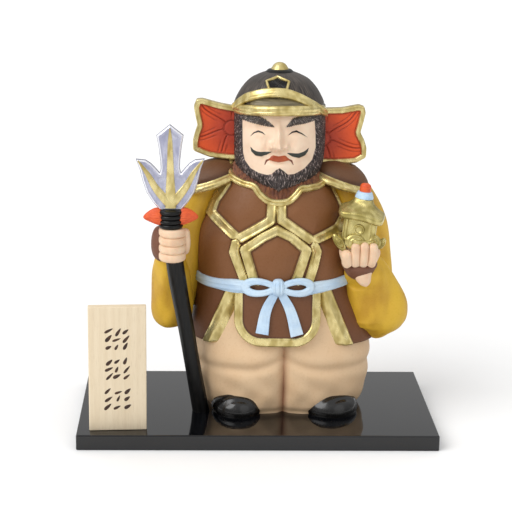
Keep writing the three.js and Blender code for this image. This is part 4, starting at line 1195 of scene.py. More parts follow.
def pagoda_grid(rows, columns=112, petals=0.0, droop=0.0, combed=0.0, posts=0.0, lean=0.0):
    """Levels of height, half width and squareness. Where wanted, petals swell each eighth of the round,
    corners droop with their reach, fine lines are combed outwards, two upright ridges stand at each
    corner, and the levels lean sideways."""
    t = np.linspace(0, len(rows) - 1, 6 * len(rows))
    height, half, power = through(rows, t)
    a = np.linspace(0, 2 * math.pi, columns + 1)[None]
    squared = np.array([square_reach(a[0], p) for p in power])
    reach = half[:, None] * squared * (1 + petals * np.cos(8 * a))
    corner = (a + math.pi / 4) % (math.pi / 2) - math.pi / 4
    reach = reach + posts * (bump(np.abs(corner) - 0.6, 0.05) + bump(np.abs(corner) - 0.77, 0.04))
    level = height[:, None] - droop * (squared - 1) / 0.2 * ease(reach, 8, 15) + combed * np.cos(70 * a)
    level = level - lean * reach * np.sin(a)
    return shut(on_hand(np.stack([reach * np.sin(a), -reach * np.cos(a), level], axis=-1)))


pagoda_cup = [[-0.2, 6.8, 1], [0.4, 7.4, 1], [3.4, 7.6, 1], [4, 9, 1], [5.6, 11, 1], [8, 12.2, 1],
              [9.8, 12.5, 1], [10.4, 11.8, 1], [10.5, 9, 1]]
pagoda_body = [[10.2, 9.2, 0.5], [10.4, 9.8, 0.42], [22.4, 9.8, 0.42], [22.8, 9.4, 0.42]]
pagoda_roof = [[22, 9.4, 0.5], [22.2, 11.4, 0.46], [23, 13.2, 0.42], [24.2, 14, 0.4], [25.8, 14.1, 0.4],
               [27, 13.5, 0.4], [27.8, 12.1, 0.44], [28.8, 10.1, 0.52], [30.4, 8, 0.62], [32, 6.7, 0.76],
               [34, 5.9, 0.9], [34.5, 5.6, 1]]
pagoda_ring = [[34.2, 5.0, 1], [34.5, 5.6, 1], [35.2, 5.7, 1], [37.2, 5.0, 1], [38.2, 4.6, 1], [38.6, 4.2, 1],
               [38.7, 3.6, 1]]
pagoda_tip = [[38.5, 3.3, 1], [38.8, 3.5, 1], [41.4, 3.4, 1], [42.8, 3.0, 1], [43.6, 2.0, 1], [43.8, 0.8, 1]]
pagoda_coat = gold_paint("pagoda_gold", tone(206, 192, 128), tone(160, 146, 84))
part_of(skin("pagoda_cup", pagoda_grid(pagoda_cup, petals=0.05), pagoda_coat), "pagoda")
part_of(skin("pagoda_body", pagoda_grid(pagoda_body, 240, posts=0.7), pagoda_coat), "pagoda")
roof = pagoda_grid(pagoda_roof, 288, droop=0.9, combed=0.09, lean=0.09)
part_of(skin("pagoda_roof", roof, pagoda_coat), "pagoda")


def petal_grid(x, z, half_x, half_z, lean, y=-42.8, rings=20, columns=48):
    """A lotus petal: an oval lens facing forward, with raised rings that repeat its outline, leaning by
    an angle."""
    share, a = rounds(np.linspace(0, 1, rings), columns)
    across, up = half_x * share * np.sin(a), half_z * share * np.cos(a)
    swell = 1.5 * np.sqrt((1 - share**2).clip(0))
    swell += 0.3 * np.cos(2 * math.pi * 2.5 * share) * ease(1 - share, 0, 0.2)
    c, s = math.cos(lean), math.sin(lean)
    front = np.stack([x + across * c - up * s, y - swell, z + across * s + up * c], axis=-1)
    behind = np.stack([front[..., 0], 2 * y - front[..., 1], front[..., 2]], axis=-1)
    return np.concatenate([front, behind[::-1]])


petals = [
    petal_grid(42.6, 117.4, 6.4, 5.2, 0.0, -41.6),
    petal_grid(53.2, 117.4, 5.4, 4.8, -0.15, -41.0),
    petal_grid(33.2, 116.6, 2.9, 6.6, 0.62, -40.0),
    petal_grid(59.2, 115.8, 2.2, 4.0, -0.5, -38.6),
]
boss_profile = [[-0.6, 3.4], [0.6, 3.4], [1.1, 3.0], [1.1, 2.5], [0.5, 2.0], [0.0, 1.3], [-0.1, 0.2]]
boss = turned_grid(boss_profile, 48)
boss = on_hand(np.stack([boss[..., 0], -9.7 - boss[..., 2], 16.6 + boss[..., 1]], axis=-1))
part_of(skin("pagoda_petals", petals, pagoda_coat), "pagoda")
part_of(skin("pagoda_boss", boss, pagoda_coat), "pagoda")


def ring_paint():
    """Pale blue paint with deeper clouds."""
    coat = Coat("ring_paint")
    cloud = coat.speckle(3, detail=3.0)
    colour = coat.over(cloud, tone(214, 232, 244), tone(140, 182, 220))
    return coat.done(colour, coat.rise(cloud, 0.3, 0.7, 0.45, 0.6), Normal=coat.relief(cloud, 0.05))


part_of(skin("pagoda_ring", pagoda_grid(pagoda_ring), ring_paint()), "pagoda")
part_of(skin("pagoda_tip", pagoda_grid(pagoda_tip), tassel_paint()), "pagoda")

# Head
# A stern face with closed eyes and a mouth whose corners turn down, framed by a beard that runs up both
# cheeks and hangs to a point. Brows, eyes, moustache and lips are painted, and the beard is combed into the
# clay in strands.

head_rows = [
    [144, -3.6, 6, 20, 4],
    [146, -3.5, 12, 24, 8],
    [149, -3.3, 18.6, 26.8, 13],
    [152, -3.2, 23, 27.8, 17],
    [156, -3.2, 25.8, 28.2, 20],
    [160, -3.2, 27, 28, 22],
    [165, -3, 27.5, 27.6, 24],
    [175, -2.8, 27.8, 27.6, 26],
    [186, -2.9, 27.8, 27, 27],
    [192, -3.1, 27.2, 26.6, 26.6],
    [198, -3.3, 24, 23.6, 24],
    [204, -3.4, 18, 18, 19],
]
face_x = -4.7
bare_outline = [
    [-26.6, 200], [-26.6, 188], [-26.4, 176], [-26, 168], [-24.8, 163.4], [-21.4, 159.3], [-16.5, 157.1],
    [-11.5, 156.2], [-8.8, 156.9], [-6.2, 159.6], [-3.9, 160.9], [-1.6, 159.2], [1.2, 156.7], [5.2, 156.9],
    [11.4, 159.8], [16.4, 164.6], [18.5, 172], [18.2, 180], [17.3, 190], [17.2, 200],
]
brow_strokes = [
    [[-8, 186, 0.35], [-10.8, 187.2, 1.5], [-14, 188.4, 2.4], [-19, 189.9, 2.8], [-25.4, 190.8, 2.6]],
    [[0, 186, 0.35], [2.4, 187.3, 1.5], [5, 189, 2.5], [10.5, 190.2, 2.8], [17.4, 191, 2.2]],
]
eye_strokes = [
    [[-21.9, 179.2, 0.1], [-19.8, 181.6, 0.34], [-17.2, 182.7, 0.5], [-14.8, 182.2, 0.4],
     [-12.7, 180.7, 0.1]],
    [[1, 180.9, 0.1], [3.4, 182.6, 0.4], [6.1, 183.1, 0.5], [9.4, 181.7, 0.36], [13.3, 179, 0.1]],
]
moustache_strokes = [
    [[-21.8, 172.8, 0.12], [-20.5, 170.5, 0.9], [-18.2, 169.1, 1.45], [-15.4, 168.9, 1.5],
     [-12.6, 169.5, 1.1], [-9.2, 170.7, 0.25]],
    [[0.8, 169.9, 0.25], [4.2, 168.7, 1.15], [8, 168.3, 1.55], [11, 169.3, 1.4], [12.8, 170.8, 0.85],
     [13.9, 172.5, 0.12]],
]
lip_strokes = [
    [[-10.6, 165.7, 0.4], [-7.8, 166.6, 1.9], [-4.4, 166, 1.9], [-1.2, 166.6, 1.9], [2, 165.7, 0.4]],
]
corner_strokes = [
    [[-10, 166, 0.5], [-11.9, 164.8, 0.55], [-13, 162.3, 0.2]],
    [[1.4, 166, 0.5], [3.4, 164.8, 0.55], [4.5, 162.5, 0.2]],
]


def strokes(x, z, several):
    """How far each place lies inside the nearest of several strokes."""
    return np.max([stroke(x, z, route) for route in several], axis=0)


def combing(u, z):
    """Strands of hair that spread from a point high in the face: how far round from it a place lies, how
    far along, and waves across the strands, of two widths."""
    turn, far = np.arctan2(u, 202 - z), np.hypot(u, 202 - z)
    across = 42 * turn + 0.5 * np.sin(far * 0.5 + 5 * turn)
    wave = 0.6 * np.sin(across * 2 * math.pi / 1.3) + 0.4 * np.sin(across * 2 * math.pi / 0.87 + far * 0.45)
    return np.stack([across, far * 0.22, 0 * far], axis=-1), wave


def head_grid(rows, columns):
    """The head's ovals with the features added outwards as smooth humps: nose, wings of the nose, cheeks,
    brows, lips and chin, hollows for the eyes, and the beard as a raised layer combed by waves across its
    strands."""
    low, high = head_rows[0][0], head_rows[-1][0]
    z, a = np.meshgrid(np.linspace(low, high, rows), angles(columns, 0.55), indexing="ij")
    middle, wide, front, back = along(head_rows, z)
    x = middle + wide * rounded(np.sin(a), 0.9)
    fore = ease(np.cos(a), 0.0, 0.35)
    side = x - face_x
    apart = np.abs(side)
    bare = np.where(np.cos(a) > 0, within(x, z, bare_outline), -10.0)
    flow, wave = combing(27.5 * ((a + math.pi) % (2 * math.pi) - math.pi), z)
    brow = strokes(x, z, brow_strokes) + 0.3 * np.sin(x * 5.2 + z * 3)
    eye = strokes(x, z, eye_strokes)
    moustache, lips = strokes(x, z, moustache_strokes), strokes(x, z, lip_strokes)
    corners = strokes(x, z, corner_strokes)
    nose = 5.4 * bump(side, 2.2) * ease(z, 171.2, 175) * ease(190 - z, 0, 12)
    nose += 6.0 * bump(side, 3.1) * bump(z - 174.2, 3.4) + 4.4 * bump(apart - 4.6, 1.6) * bump(z - 174, 2.1)
    nose -= 0.9 * bump(apart - 7.2, 1.1) * bump(z - 174, 2.6)
    cheek = 2.0 * bump(apart - 13, 6) * bump(z - 173.5, 6)
    cheek -= 0.8 * bump(apart - 8.6, 1.6) * bump(z - 168.5, 4)
    socket = -2.3 * bump(apart - 10.6, 5.6) * bump(z - 185.4, 2.8)
    socket += 1.1 * bump(apart - 11.5, 5) * bump(z - 180.4, 2.6)
    chin = 1.5 * bump(side, 7) * bump(z - 161.6, 3) - 1.1 * bump(side, 6) * bump(z - 164, 1.0)
    drawn = 0.8 * ease(brow, -0.4, 0.8) + 0.8 * ease(moustache, -0.5, 0.8) + 1.3 * ease(lips, -0.5, 1.0)
    drawn -= 0.4 * ease(eye, -0.4, 0.3) + 0.5 * ease(corners, -0.4, 0.3)
    hair = ease(-bare, -0.1, 1.1)
    out = fore * (nose + cheek + socket + chin + drawn) * (1 - hair) + hair * (1.3 + 0.32 * wave)
    y = -(np.where(np.cos(a) > 0, front, back) + out) * rounded(np.cos(a), 0.9)
    x = x + out * rounded(np.sin(a), 0.9) * ease(hair, 0.3, 0.9) * 0.6
    hidden = np.where(np.cos(a) > 0, 0, -9)
    marks = {"bare": bare, "brow": brow + hidden, "eye": eye + hidden, "moustache": moustache + hidden,
             "lips": lips + hidden, "corners": corners + hidden, "flow": flow}
    return np.stack([x, y, z], axis=-1), marks


def hair_paint(coat, dark, pale, light):
    """Combed hair: broad strands between two dark tones, and finer pale strokes over them."""
    flow = coat.mark("flow", "Vector")
    broad = coat.over(coat.rise(coat.speckle(1.3, at=flow, detail=2.0), 0.42, 0.58), dark, pale)
    return coat.over(coat.rise(coat.speckle(0.7, at=flow, detail=2.0), 0.54, 0.66), broad, light)


beard_tones = tone(34, 27, 26), tone(62, 51, 49), tone(158, 142, 136)
brow_tones = tone(44, 38, 36), tone(70, 60, 56), tone(166, 152, 142)


def face_paint():
    """The face's skin colour, with brows, lips, moustache and eyes laid over it one after the other, and
    the beard's hair wherever the skin isn't bare."""
    coat = Coat("face_paint")
    warm = coat.speckle(9, detail=2.0)
    fine = coat.speckle(0.8, detail=4.0)
    colour = coat.over(coat.rise(warm, 0.35, 0.75), tone(238, 211, 184), tone(228, 195, 166))
    beard = hair_paint(coat, *beard_tones)
    brow_hair = hair_paint(coat, *brow_tones)
    red = coat.over(coat.rise(warm, 0.35, 0.7), tone(176, 84, 44), tone(154, 66, 36))
    layers = [("brow", brow_hair, 0.25), ("corners", tone(112, 52, 34), 0.12), ("lips", red, 0.08),
              ("moustache", tone(46, 50, 44), 0.1), ("eye", tone(30, 24, 22), 0.08)]
    for mark, paint, soft in layers:
        colour = coat.over(coat.rise(coat.mark(mark), -soft, soft), colour, paint)
    skin_part = coat.rise(coat.mark("bare"), -0.25, 0.1)
    colour = coat.over(skin_part, beard, colour)
    rough = coat.rise(skin_part, 0.0, 1.0, 0.62, 0.46)
    pores = coat.relief(fine, 0.02)
    return coat.done(colour, rough, Normal=pores, Subsurface_Weight=0.06, Subsurface_Scale=0.002)


def beard_paint():
    """The beard's combed hair all over."""
    coat = Coat("beard_paint")
    return coat.done(hair_paint(coat, *beard_tones), 0.6)


tuft_rows = [[160.2, 0.4, 26.6], [158.8, 1.4, 28.2], [156.6, 3.8, 29.6], [153.8, 7.2, 30.6],
             [151.4, 6.8, 31.2], [149.2, 5, 32], [147.2, 2.7, 31.8], [145.8, 0.9, 31]]


def tuft_grid(rows=84, columns=120):
    """The pointed tuft: ovals whose half width and reach forward follow a table from top to tip, grooved
    lengthwise by waves that draw together with the ovals. Hands back the flow of the strands too."""
    t, b = rounds(np.linspace(0, len(tuft_rows) - 1, rows), columns)
    z, half, reach = through(tuft_rows, t)
    groove = 1 + 0.045 * np.sin(30 * b + 1.5 * np.sin(1.3 * t)) + 0.03 * np.sin(47 * b - 1.1 * t)
    x = -4.3 + half * groove * np.sin(b)
    deep = (2 + 0.22 * half) * groove * np.cos(b)
    flow = np.stack([8 * b, 0.4 * t, 0 * t], axis=-1)
    return np.stack([x, -reach + 3.5 - deep, z + 0.8 * np.abs(np.sin(b))], axis=-1), flow


grid, marks = shut(*head_grid(160, 330))
part_of(skin("head", grid, face_paint(), marks, crease=80), "figure")
tuft, flow = tuft_grid()
tuft, marks = shut(tuft, {"flow": flow})
part_of(skin("beard_tuft", tuft, beard_paint(), marks, crease=80), "figure")

# Helmet
# A tall dark helmet, brushed upright, with a small crown plate and a gilt knob, a wide gilt band arched
# over the brow, a dark visor with a rolled gilt rim, and a five-sided gilt badge.

helmet_x, helmet_y = -3.4, 0.5
dome_rows = [
    [194.5, 28.6],
    [197.5, 28],
    [201.5, 26.2],
    [206.5, 23.1],
    [211.5, 18.4],
    [214.4, 13],
    [216, 8.8],
]
arch_rows = [
    [-30.6, 194.6, 1.8], [-29.6, 196.2, 2.2], [-26.9, 198.9, 2.6], [-22.8, 201.8, 3.0], [-16.6, 204.1, 3.1],
    [-12.4, 205.1, 3.1], [-6, 205.6, 3.1], [0.3, 204.9, 3.1], [4.7, 203.5, 3.0], [9.2, 201.5, 2.9],
    [16.2, 197.5, 2.7], [20.9, 194.2, 2.5], [23.8, 191.6, 2],
]


def about_helmet(radius, z, a):
    """Places on level circles about the helmet's axis."""
    return np.stack([helmet_x + radius * np.sin(a), helmet_y - radius * np.cos(a), z + 0 * radius], axis=-1)


def dome_place(z, a, out=0.0):
    """A place on the dome, or as far outside it as out says."""
    return about_helmet(along(dome_rows, z)[0] + out, z, a)


def dome_grid(rows=76, columns=176):
    """The dome's profile turned about its axis, closed by a flat top under the crown plate."""
    z, a = rounds(np.linspace(dome_rows[0][0], dome_rows[-1][0], rows), columns)
    return shut(dome_place(z, a), {"turn": np.stack([a * 26, z * 0.12, 0 * z], axis=-1)})


def on_dome(x, z, out=0.0):
    """The dome's front at x and z, and its normal, from the slope of its profile."""
    radius, below = along(dome_rows, z)[0], along(dome_rows, z - 0.5)[0]
    a = np.arcsin(((x - helmet_x) / radius).clip(-0.98, 0.98))
    normal = unit(np.stack([np.sin(a), -np.cos(a), (below - radius) / 0.5], axis=-1))
    return dome_place(z, a) + out * normal, normal


def helmet_paint():
    """Dark olive-brown paint brushed upright over the clay, with a low sheen."""
    coat = Coat("helmet_paint")
    brush = coat.speckle(0.9, at=coat.mark("turn", "Vector"), detail=5.0)
    patch = coat.speckle(10, detail=3.0)
    colour = coat.over(coat.rise(brush, 0.35, 0.68), tone(44, 39, 36), tone(96, 87, 80))
    colour = coat.over(coat.rise(patch, 0.4, 0.7, 0.0, 0.4), colour, (0.62, 0.6, 0.6, 1), "MULTIPLY")
    rough = coat.rise(brush, 0.3, 0.7, 0.36, 0.5)
    return coat.done(colour, rough, Metallic=0.2, Normal=coat.relief(brush, 0.04))


def arch_grid():
    """The brow band: a profile with a ridge at each edge, carried over the dome along an arch."""
    t = np.linspace(0, len(arch_rows) - 1, 140)
    x, z, half = through(arch_rows, t)
    path, normals = on_dome(x, z, 1.5)
    profile = oval(half, 1.7 + 0 * t, 40, 0.6)
    profile[..., 1] -= 0.5 * bump(profile[..., 0], 1.3) * (profile[..., 1] > 0)
    return carried(path, normals, profile)


def roll_grid(columns=44):
    """The visor's rolled rim: an upright oval carried round the front, tapering in at both temples, with
    a groove along its middle."""
    a = np.linspace(-1.62, 1.62, 120)
    b = np.linspace(0, 2 * math.pi, columns + 1)
    thick = (0.55 + 0.45 * np.minimum(1, 2.2 * np.cos(a).clip(0)) ** 0.8)[:, None]
    x, y = helmet_x + 28.6 * np.sin(a), helmet_y - 32.2 * np.cos(a)
    path = np.stack([x, y, 192.8 + 3.6 * np.cos(a)], axis=-1)
    out = np.stack([np.sin(a), -np.cos(a), 0 * a], axis=-1)
    groove = 0.5 * bump((b + math.pi) % (2 * math.pi) - math.pi + 0.12, 0.14)
    push = 2.6 * thick * rounded(np.cos(b), 0.8) - 1 - groove * thick
    lift = 3.2 * thick * rounded(np.sin(b), 0.9)
    return shut(path[:, None] + push[..., None] * out[:, None] + lift[..., None] * np.array([0, 0, 1.0]))


def visor_grid():
    """The dark crescent between the brow band and the rolled rim: the dome pushed out in front, with low
    waves, and drawn in again above the band's line."""
    rows = [[0, 195.4, -3], [1, 196, 1.6], [2, 199.4, 2.1], [3, 202, 1.2], [4, 204.4, -0.8]]
    t, a = rounds(np.linspace(0, 4, 40), 180)
    z, out = along(rows, t)
    band = np.interp(dome_place(z, a)[..., 0], *np.array(arch_rows)[:, :2].T)
    out = -3 + (out + 3 + 0.05 * np.sin(z * 5)) * ease(np.cos(a), 0.55, 0.85) * ease(band + 0.5 - z, 0, 1.6)
    return shut(dome_place(z, a, out), {"turn": np.stack([a * 3, z * 1.6, 0 * z], axis=-1)})


def visor_paint():
    """Smooth olive paint with faint level strokes."""
    coat = Coat("visor_paint")
    brush = coat.speckle(0.9, at=coat.mark("turn", "Vector"), detail=3.0)
    colour = coat.over(coat.rise(brush, 0.35, 0.68), tone(96, 88, 68), tone(124, 114, 90))
    return coat.done(colour, 0.42, Metallic=0.2, Normal=coat.relief(brush, 0.02))


def badge_outline():
    """Places round the badge's five corners on the dome, their normals, and the way inwards from each."""
    corners = np.array([[0, 4.6], [6.6, 1.2], [5.2, -4.8], [-5.2, -4.8], [-6.6, 1.2], [0, 4.6]]) * [1, 0.66]
    edge = straight(corners, np.linspace(0, 5, 101)) + [-5.4, 210.8]
    path, normals = on_dome(edge[:, 0], edge[:, 1], 0.7)
    inward = path[:-1].mean(axis=0) - path
    inward -= np.sum(inward * normals, axis=1, keepdims=True) * normals
    return path, normals, unit(inward)


def badge_grid():
    """The badge's frame: a round profile carried round its outline."""
    path, normals, inward = badge_outline()
    b = np.linspace(0, 2 * math.pi, 17)
    ring = 0.9 * np.cos(b)[:, None] * inward[:, None] + 1.3 * np.sin(b)[:, None] * normals[:, None]
    grid = path[:, None] + ring
    grid[-1] = grid[0]
    return grid


def badge_field(rings=12):
    """The black field inside the frame: rings that shrink from the outline to its middle, pitted by
    waves, with a second sheet behind."""
    path, normals, _ = badge_outline()
    share = np.linspace(0, 1, rings)[:, None, None]
    flat = path + (path[:-1].mean(axis=0) - path) * share
    normals = normals + (normals[:-1].mean(axis=0) - normals) * share
    pits = 0.25 * np.sin(flat[..., :1] * 4) * np.sin(flat[..., 2:] * 5) * ease(share, 0, 0.2)
    front, behind = flat + normals * (0.1 + pits), flat - normals
    return np.concatenate([front[::-1], behind])


helmet_coat = helmet_paint()
grid, marks = dome_grid()
part_of(skin("helmet_dome", grid, helmet_coat, marks), "figure")
grid, marks = visor_grid()
part_of(skin("visor", grid, visor_paint(), marks), "figure")
part_of(skin("brow_band", arch_grid(), gold_coat), "figure")
part_of(skin("rolled_rim", roll_grid(), gold_coat), "figure")
part_of(skin("badge", badge_grid(), gold_coat), "figure")
part_of(skin("badge_field", badge_field(), trident_black), "figure")
crown_profile = [[213.6, 8], [214.2, 9.6], [215.4, 9.4], [216.6, 8.2], [217.4, 7.2], [217.8, 5]]
crown = turned_grid(crown_profile) + [helmet_x, helmet_y, 0]
part_of(skin("crown_plate", crown, trident_black), "figure")
knob_profile = [[217.2, 5], [217.5, 5.6], [218.1, 5.4], [218.9, 4.8], [219.8, 4.3], [220.8, 3.4],
                [221.5, 2.2], [221.85, 1.0], [221.95, 0.3]]
knob = turned_grid(knob_profile) + [helmet_x, helmet_y, 0]
part_of(skin("knob", knob, gold_coat), "figure")

# Wings and neck guard
# A shell guards the neck behind, and its two front ends turn back beside the head as flat wings, painted
# orange inside a thick gilt rim, with fine curved lines that spread from the helmet like a half flower.

left_wing = [
    [18, 158.4], [34, 158], [45.6, 158.8], [51.8, 162.4], [52, 168.6], [50.4, 173.6], [47.8, 178.4],
    [49.2, 183.6], [50.8, 190.8], [49.8, 194.6], [46.4, 195.7], [36, 193.6], [18, 193.2],
]
right_wing = [
    [-24, 193.2], [-40, 195.9], [-51.4, 199], [-55, 198.6], [-56.8, 194], [-55.6, 187.6], [-54.4, 182.2],
    [-56, 177.6], [-57.3, 172.4], [-57.1, 166.2], [-46.4, 162], [-34, 160.6], [-24, 160.4],
]
wing_border = 3.3


def turned_in(share):
    """How far a rounded edge draws in, at a share of its radius from the rim: a quarter circle, from 1 at
    the rim to 0 where the face begins."""
    return 1 - np.sqrt((1 - (1 - share) ** 2).clip(0))


def wing_grid(outline, hub, rings=44, per_run=16):
    """Rings from a hub beside the helmet out to the wing's outline. In front the rim stands up as a
    rounded band above a sunk field, crossed by a half ring round the hub and by petal lines that run on
    from it; behind, the wing is flat with a rounded edge."""
    edge = straight(outline + outline[:1], np.linspace(0, len(outline), per_run * len(outline) + 1))
    for _ in range(6):
        edge[:-1] = (edge[:-1] + np.roll(edge[:-1], 1, axis=0) + np.roll(edge[:-1], -1, axis=0)) / 3
        edge[-1] = edge[0]
    share = (1 - (1 - np.linspace(0, 1, rings)) ** 1.5)[:, None, None]
    flat = hub + (edge - hub) * share
    x, z = flat[..., 0], flat[..., 1]
    inside = within(x, z, edge[:-1]).clip(0)
    inside[-1] = 0
    gilt = wing_border - inside
    spread = np.arctan2(z - hub[1], np.abs(x - hub[0]) + 1e-6)
    far = np.hypot(x - hub[0], z - hub[1])
    line = np.abs(np.sin(3.5 * spread + 0.6 * np.sin((far - 5) * 0.12) + 0.4)) * far / 3.5
    vein = np.maximum(bump(line, 0.42) * ease(far, 4.8, 5.6), bump(far - 4.8, 0.45))
    vein = np.maximum(vein, 0.6 * bump(line - 2.2, 0.34) * ease(far, 9, 12)) * ease(-gilt, 0.2, 1.2)
    rim = 1.6 * ease(gilt, -0.3, 0.4) - 0.9 * turned_in(inside.clip(0, 1.4) / 1.4)
    turned = 1.3 * turned_in(inside.clip(0, 1.3) / 1.3)
    front = np.stack([x, -1.9 - rim + 0.6 * vein, z], axis=-1)
    behind = np.stack([x, 3.8 - turned, z], axis=-1)
    marks = {
        "gilt": np.concatenate([gilt, np.where(inside[::-1] > wing_border, -1.0, 1.0)]),
        "vein": np.concatenate([vein, 0 * vein]),
        "near": np.concatenate([1 - ease(far, 4, 24), 0 * far]),
    }
    return np.concatenate([front, behind[::-1]]), marks


def wing_paint():
    """Orange, redder near the helmet, with dark lines in the veins and gold on the rim."""
    coat = Coat("wing_paint")
    field = coat.over(coat.mark("near"), tone(226, 86, 34), tone(176, 58, 32))
    lined = coat.over(coat.mark("vein"), field, tone(142, 46, 24))
    return gilded(coat, lined)


def guard_grid(rows=48, columns=100):
    """The neck guard: a flared band round the back of the head, thick, rounded at its rim and gilt along
    it."""
    table = [[157, 38.4], [160.5, 38], [164, 35.4], [178, 32], [195, 29.6]]
    foot, thick, gilt_wide = 157, 5, 3.6
    a = np.radians(np.linspace(98, 262, columns))
    z, a = np.meshgrid(foot + 38 * (1 + crowded(rows, 0.6)) / 2, a, indexing="ij")
    radius = along(table, z)[0]
    turned = 1.6 * turned_in((z - foot).clip(0, 1.6) / 1.6)
    outer, inner = about_helmet(radius - turned, z, a), about_helmet(radius - thick + turned, z, a)
    gilt = foot + gilt_wide - z
    return slab(outer, inner, gilt, gilt)


wing_coat = wing_paint()
for side, outline, hub in (("left", left_wing, (24, 174)), ("right", right_wing, (-33, 180.5))):
    grid, marks = wing_grid(outline, hub)
    part_of(skin(side + "_wing", grid, wing_coat, marks), "figure")
guard_coat = armour_paint("guard_paint", brown=tone(84, 78, 62))
grid, gilt = guard_grid()
part_of(skin("neck_guard", grid, guard_coat, {"gilt": gilt}), "figure")

# Name board
# A slip of bare pale wood with its grain running upright, standing at the front left. Three groups of
# short brush dabs in dark brown ink, which are no letters, run down it.

slip_half, board_turn = (17.8, 3, 40), math.radians(3.4)
board_place = np.array([25.5 - plinth_half[0], 8.5 + slip_half[1] - plinth_half[1], 10 + slip_half[2]])


def on_board(points):
    """Turns points made about the board's middle by its small turn and sets them where it stands."""
    c, s = math.cos(board_turn), math.sin(board_turn)
    x, y = points[..., 0], points[..., 1]
    return np.stack([x * c - y * s, x * s + y * c, points[..., 2]], axis=-1) + board_place


def dab_grid(x, z, length, slant, half):
    """One dab of the brush: a flat lens on the board's face, fat where the brush came down and thin where
    it left."""
    t = np.linspace(0, 1, 24)
    run = length * (t - 0.5)
    path = np.stack([x + run * math.cos(slant), 0 * t - slip_half[1], z + run * math.sin(slant)], axis=-1)
    full = half * np.sqrt((1 - (1 - 2 * t) ** 2).clip(0.001)) * (1.25 - 0.7 * t)
    return on_board(carried(path, np.tile([0.0, -1.0, 0.0], (24, 1)), oval(full, 0.07 + 0 * t, 12)))


def bare_wood():
    """Pale wood with broad upright bands of the grain and fine dark pores."""
    coat = Coat("board_wood")
    year = coat.speckle(3, (1, 1, 26), detail=3.0)
    pore = coat.speckle(0.5, (1, 1, 14), detail=4.0)
    colour = coat.over(coat.rise(year, 0.3, 0.75), tone(228, 211, 182), tone(221, 202, 171))
    colour = coat.over(coat.rise(pore, 0.5, 0.75, 0.0, 0.3), colour, tone(184, 160, 124))
    return coat.done(colour, coat.rise(pore, 0.3, 0.7, 0.55, 0.7), Normal=coat.relief(pore, 0.03))


def ink():
    """Dark brown ink, thinner where the brush ran dry."""
    coat = Coat("brush_ink")
    dry = coat.speckle(1.0, (4, 1, 1), detail=4.0)
    colour = coat.over(coat.rise(dry, 0.4, 0.7), tone(46, 28, 20), tone(84, 56, 38))
    return coat.done(colour, coat.rise(dry, 0.3, 0.7, 0.5, 0.7))


slip = on_board(board(slip_half, 0.7, 5))
part_of(skin("name_slip", slip, bare_wood(), stand=(0, 0, 0), crease=60), "name_board")
dabs = np.random.default_rng(7)
dab_grids = []
for middle in (19.5, 0, -19.5):
    for k in range(9):
        x = (k % 3 - 1) * 5.4 + dabs.uniform(-0.8, 0.8)
        z = middle + (1 - k // 3) * 5 + dabs.uniform(-0.6, 0.6)
        length, slant, half = dabs.uniform(4, 6.4), dabs.uniform(0.3, 1.2), dabs.uniform(0.8, 1.25)
        dab_grids.append(dab_grid(x, z, length, slant, half))
part_of(skin("ink_dabs", dab_grids, ink(), stand=(0, 0, 0)), "name_board")

# Floor, light and camera
# A plain pale floor under soft studio light: a broad key light high at the left, a weaker one at the
# right and a white surrounding that is brighter overhead. The camera stands where the photograph was
# taken from.

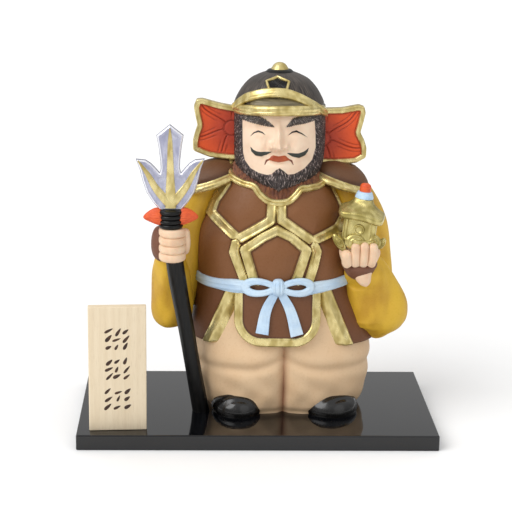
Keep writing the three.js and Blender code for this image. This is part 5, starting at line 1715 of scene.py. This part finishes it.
floor_mesh = bpy.data.meshes.new("floor")
floor_mesh.from_pydata([(-8, -8, 0), (8, -8, 0), (8, 8, 0), (-8, 8, 0)], [], [(0, 1, 2, 3)])
floor_coat = Coat("pale_floor")
floor_cloud = floor_coat.speckle(40, detail=2.0)
floor_tint = floor_coat.over(floor_cloud, (0.94, 0.94, 0.94, 1), (0.965, 0.965, 0.965, 1))
floor_mesh.materials.append(floor_coat.done(floor_tint, 0.8))
floor = bpy.data.objects.new("floor", floor_mesh)
bpy.context.scene.collection.objects.link(floor)
floor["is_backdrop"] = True

world = bpy.data.worlds.new("studio")
world.use_nodes = True
sky = world.node_tree
way_up = sky.nodes.new("ShaderNodeSeparateXYZ")
bright = sky.nodes.new("ShaderNodeMapRange")
for socket, value in (("From Min", 0.0), ("From Max", 0.7), ("To Min", 0.3), ("To Max", 0.86)):
    bright.inputs[socket].default_value = value
sky.links.new(sky.nodes.new("ShaderNodeTexCoord").outputs["Generated"], way_up.inputs[0])
sky.links.new(way_up.outputs["Z"], bright.inputs["Value"])
sky.links.new(bright.outputs[0], sky.nodes["Background"].inputs["Strength"])
sky.nodes["Background"].inputs["Color"].default_value = (1, 1, 1, 1)
bpy.context.scene.world = world
bpy.context.scene.view_settings.view_transform = "Standard"


def lamp(name, place, wide, power):
    """A far lamp that shines from a place towards the figure, softened by how wide it looks."""
    data = bpy.data.lights.new(name, "SUN")
    data.angle, data.energy = wide, power
    light = bpy.data.objects.new(name, data)
    light.location = place
    light.rotation_euler = (-Vector(place)).to_track_quat("-Z", "Y").to_euler()
    bpy.context.scene.collection.objects.link(light)


lamp("key_light", (-1.3, -0.9, 1.4), 0.8, 1.75)
lamp("fill_light", (1.0, -1.4, 0.8), 0.8, 0.2)

yaw, pitch, roll = 0.0195, 0.264, 0.010
ahead = np.array([math.sin(yaw) * math.cos(pitch), math.cos(yaw) * math.cos(pitch), -math.sin(pitch)])
level_right = np.array([math.cos(yaw), -math.sin(yaw), 0.0])
level_up = np.cross(level_right, ahead)
right = math.cos(roll) * level_right + math.sin(roll) * level_up
up = math.cos(roll) * level_up - math.sin(roll) * level_right
film_width, picture_width, focal_length = 36, 512, 1520.33
camera_data = bpy.data.cameras.new("camera")
camera_data.sensor_width = film_width
camera_data.lens = film_width * focal_length / picture_width
camera_data.shift_x = 30 / picture_width
camera_data.clip_end = 50
camera = bpy.data.objects.new("camera", camera_data)
axes, place = np.stack([right, up, -ahead], axis=1).tolist(), (-0.038098, -0.93596, 0.36165)
camera.matrix_world = Matrix([[*row, at] for row, at in zip(axes, place)] + [[0, 0, 0, 1]])
bpy.context.scene.collection.objects.link(camera)
bpy.context.scene.camera = camera

low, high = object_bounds()
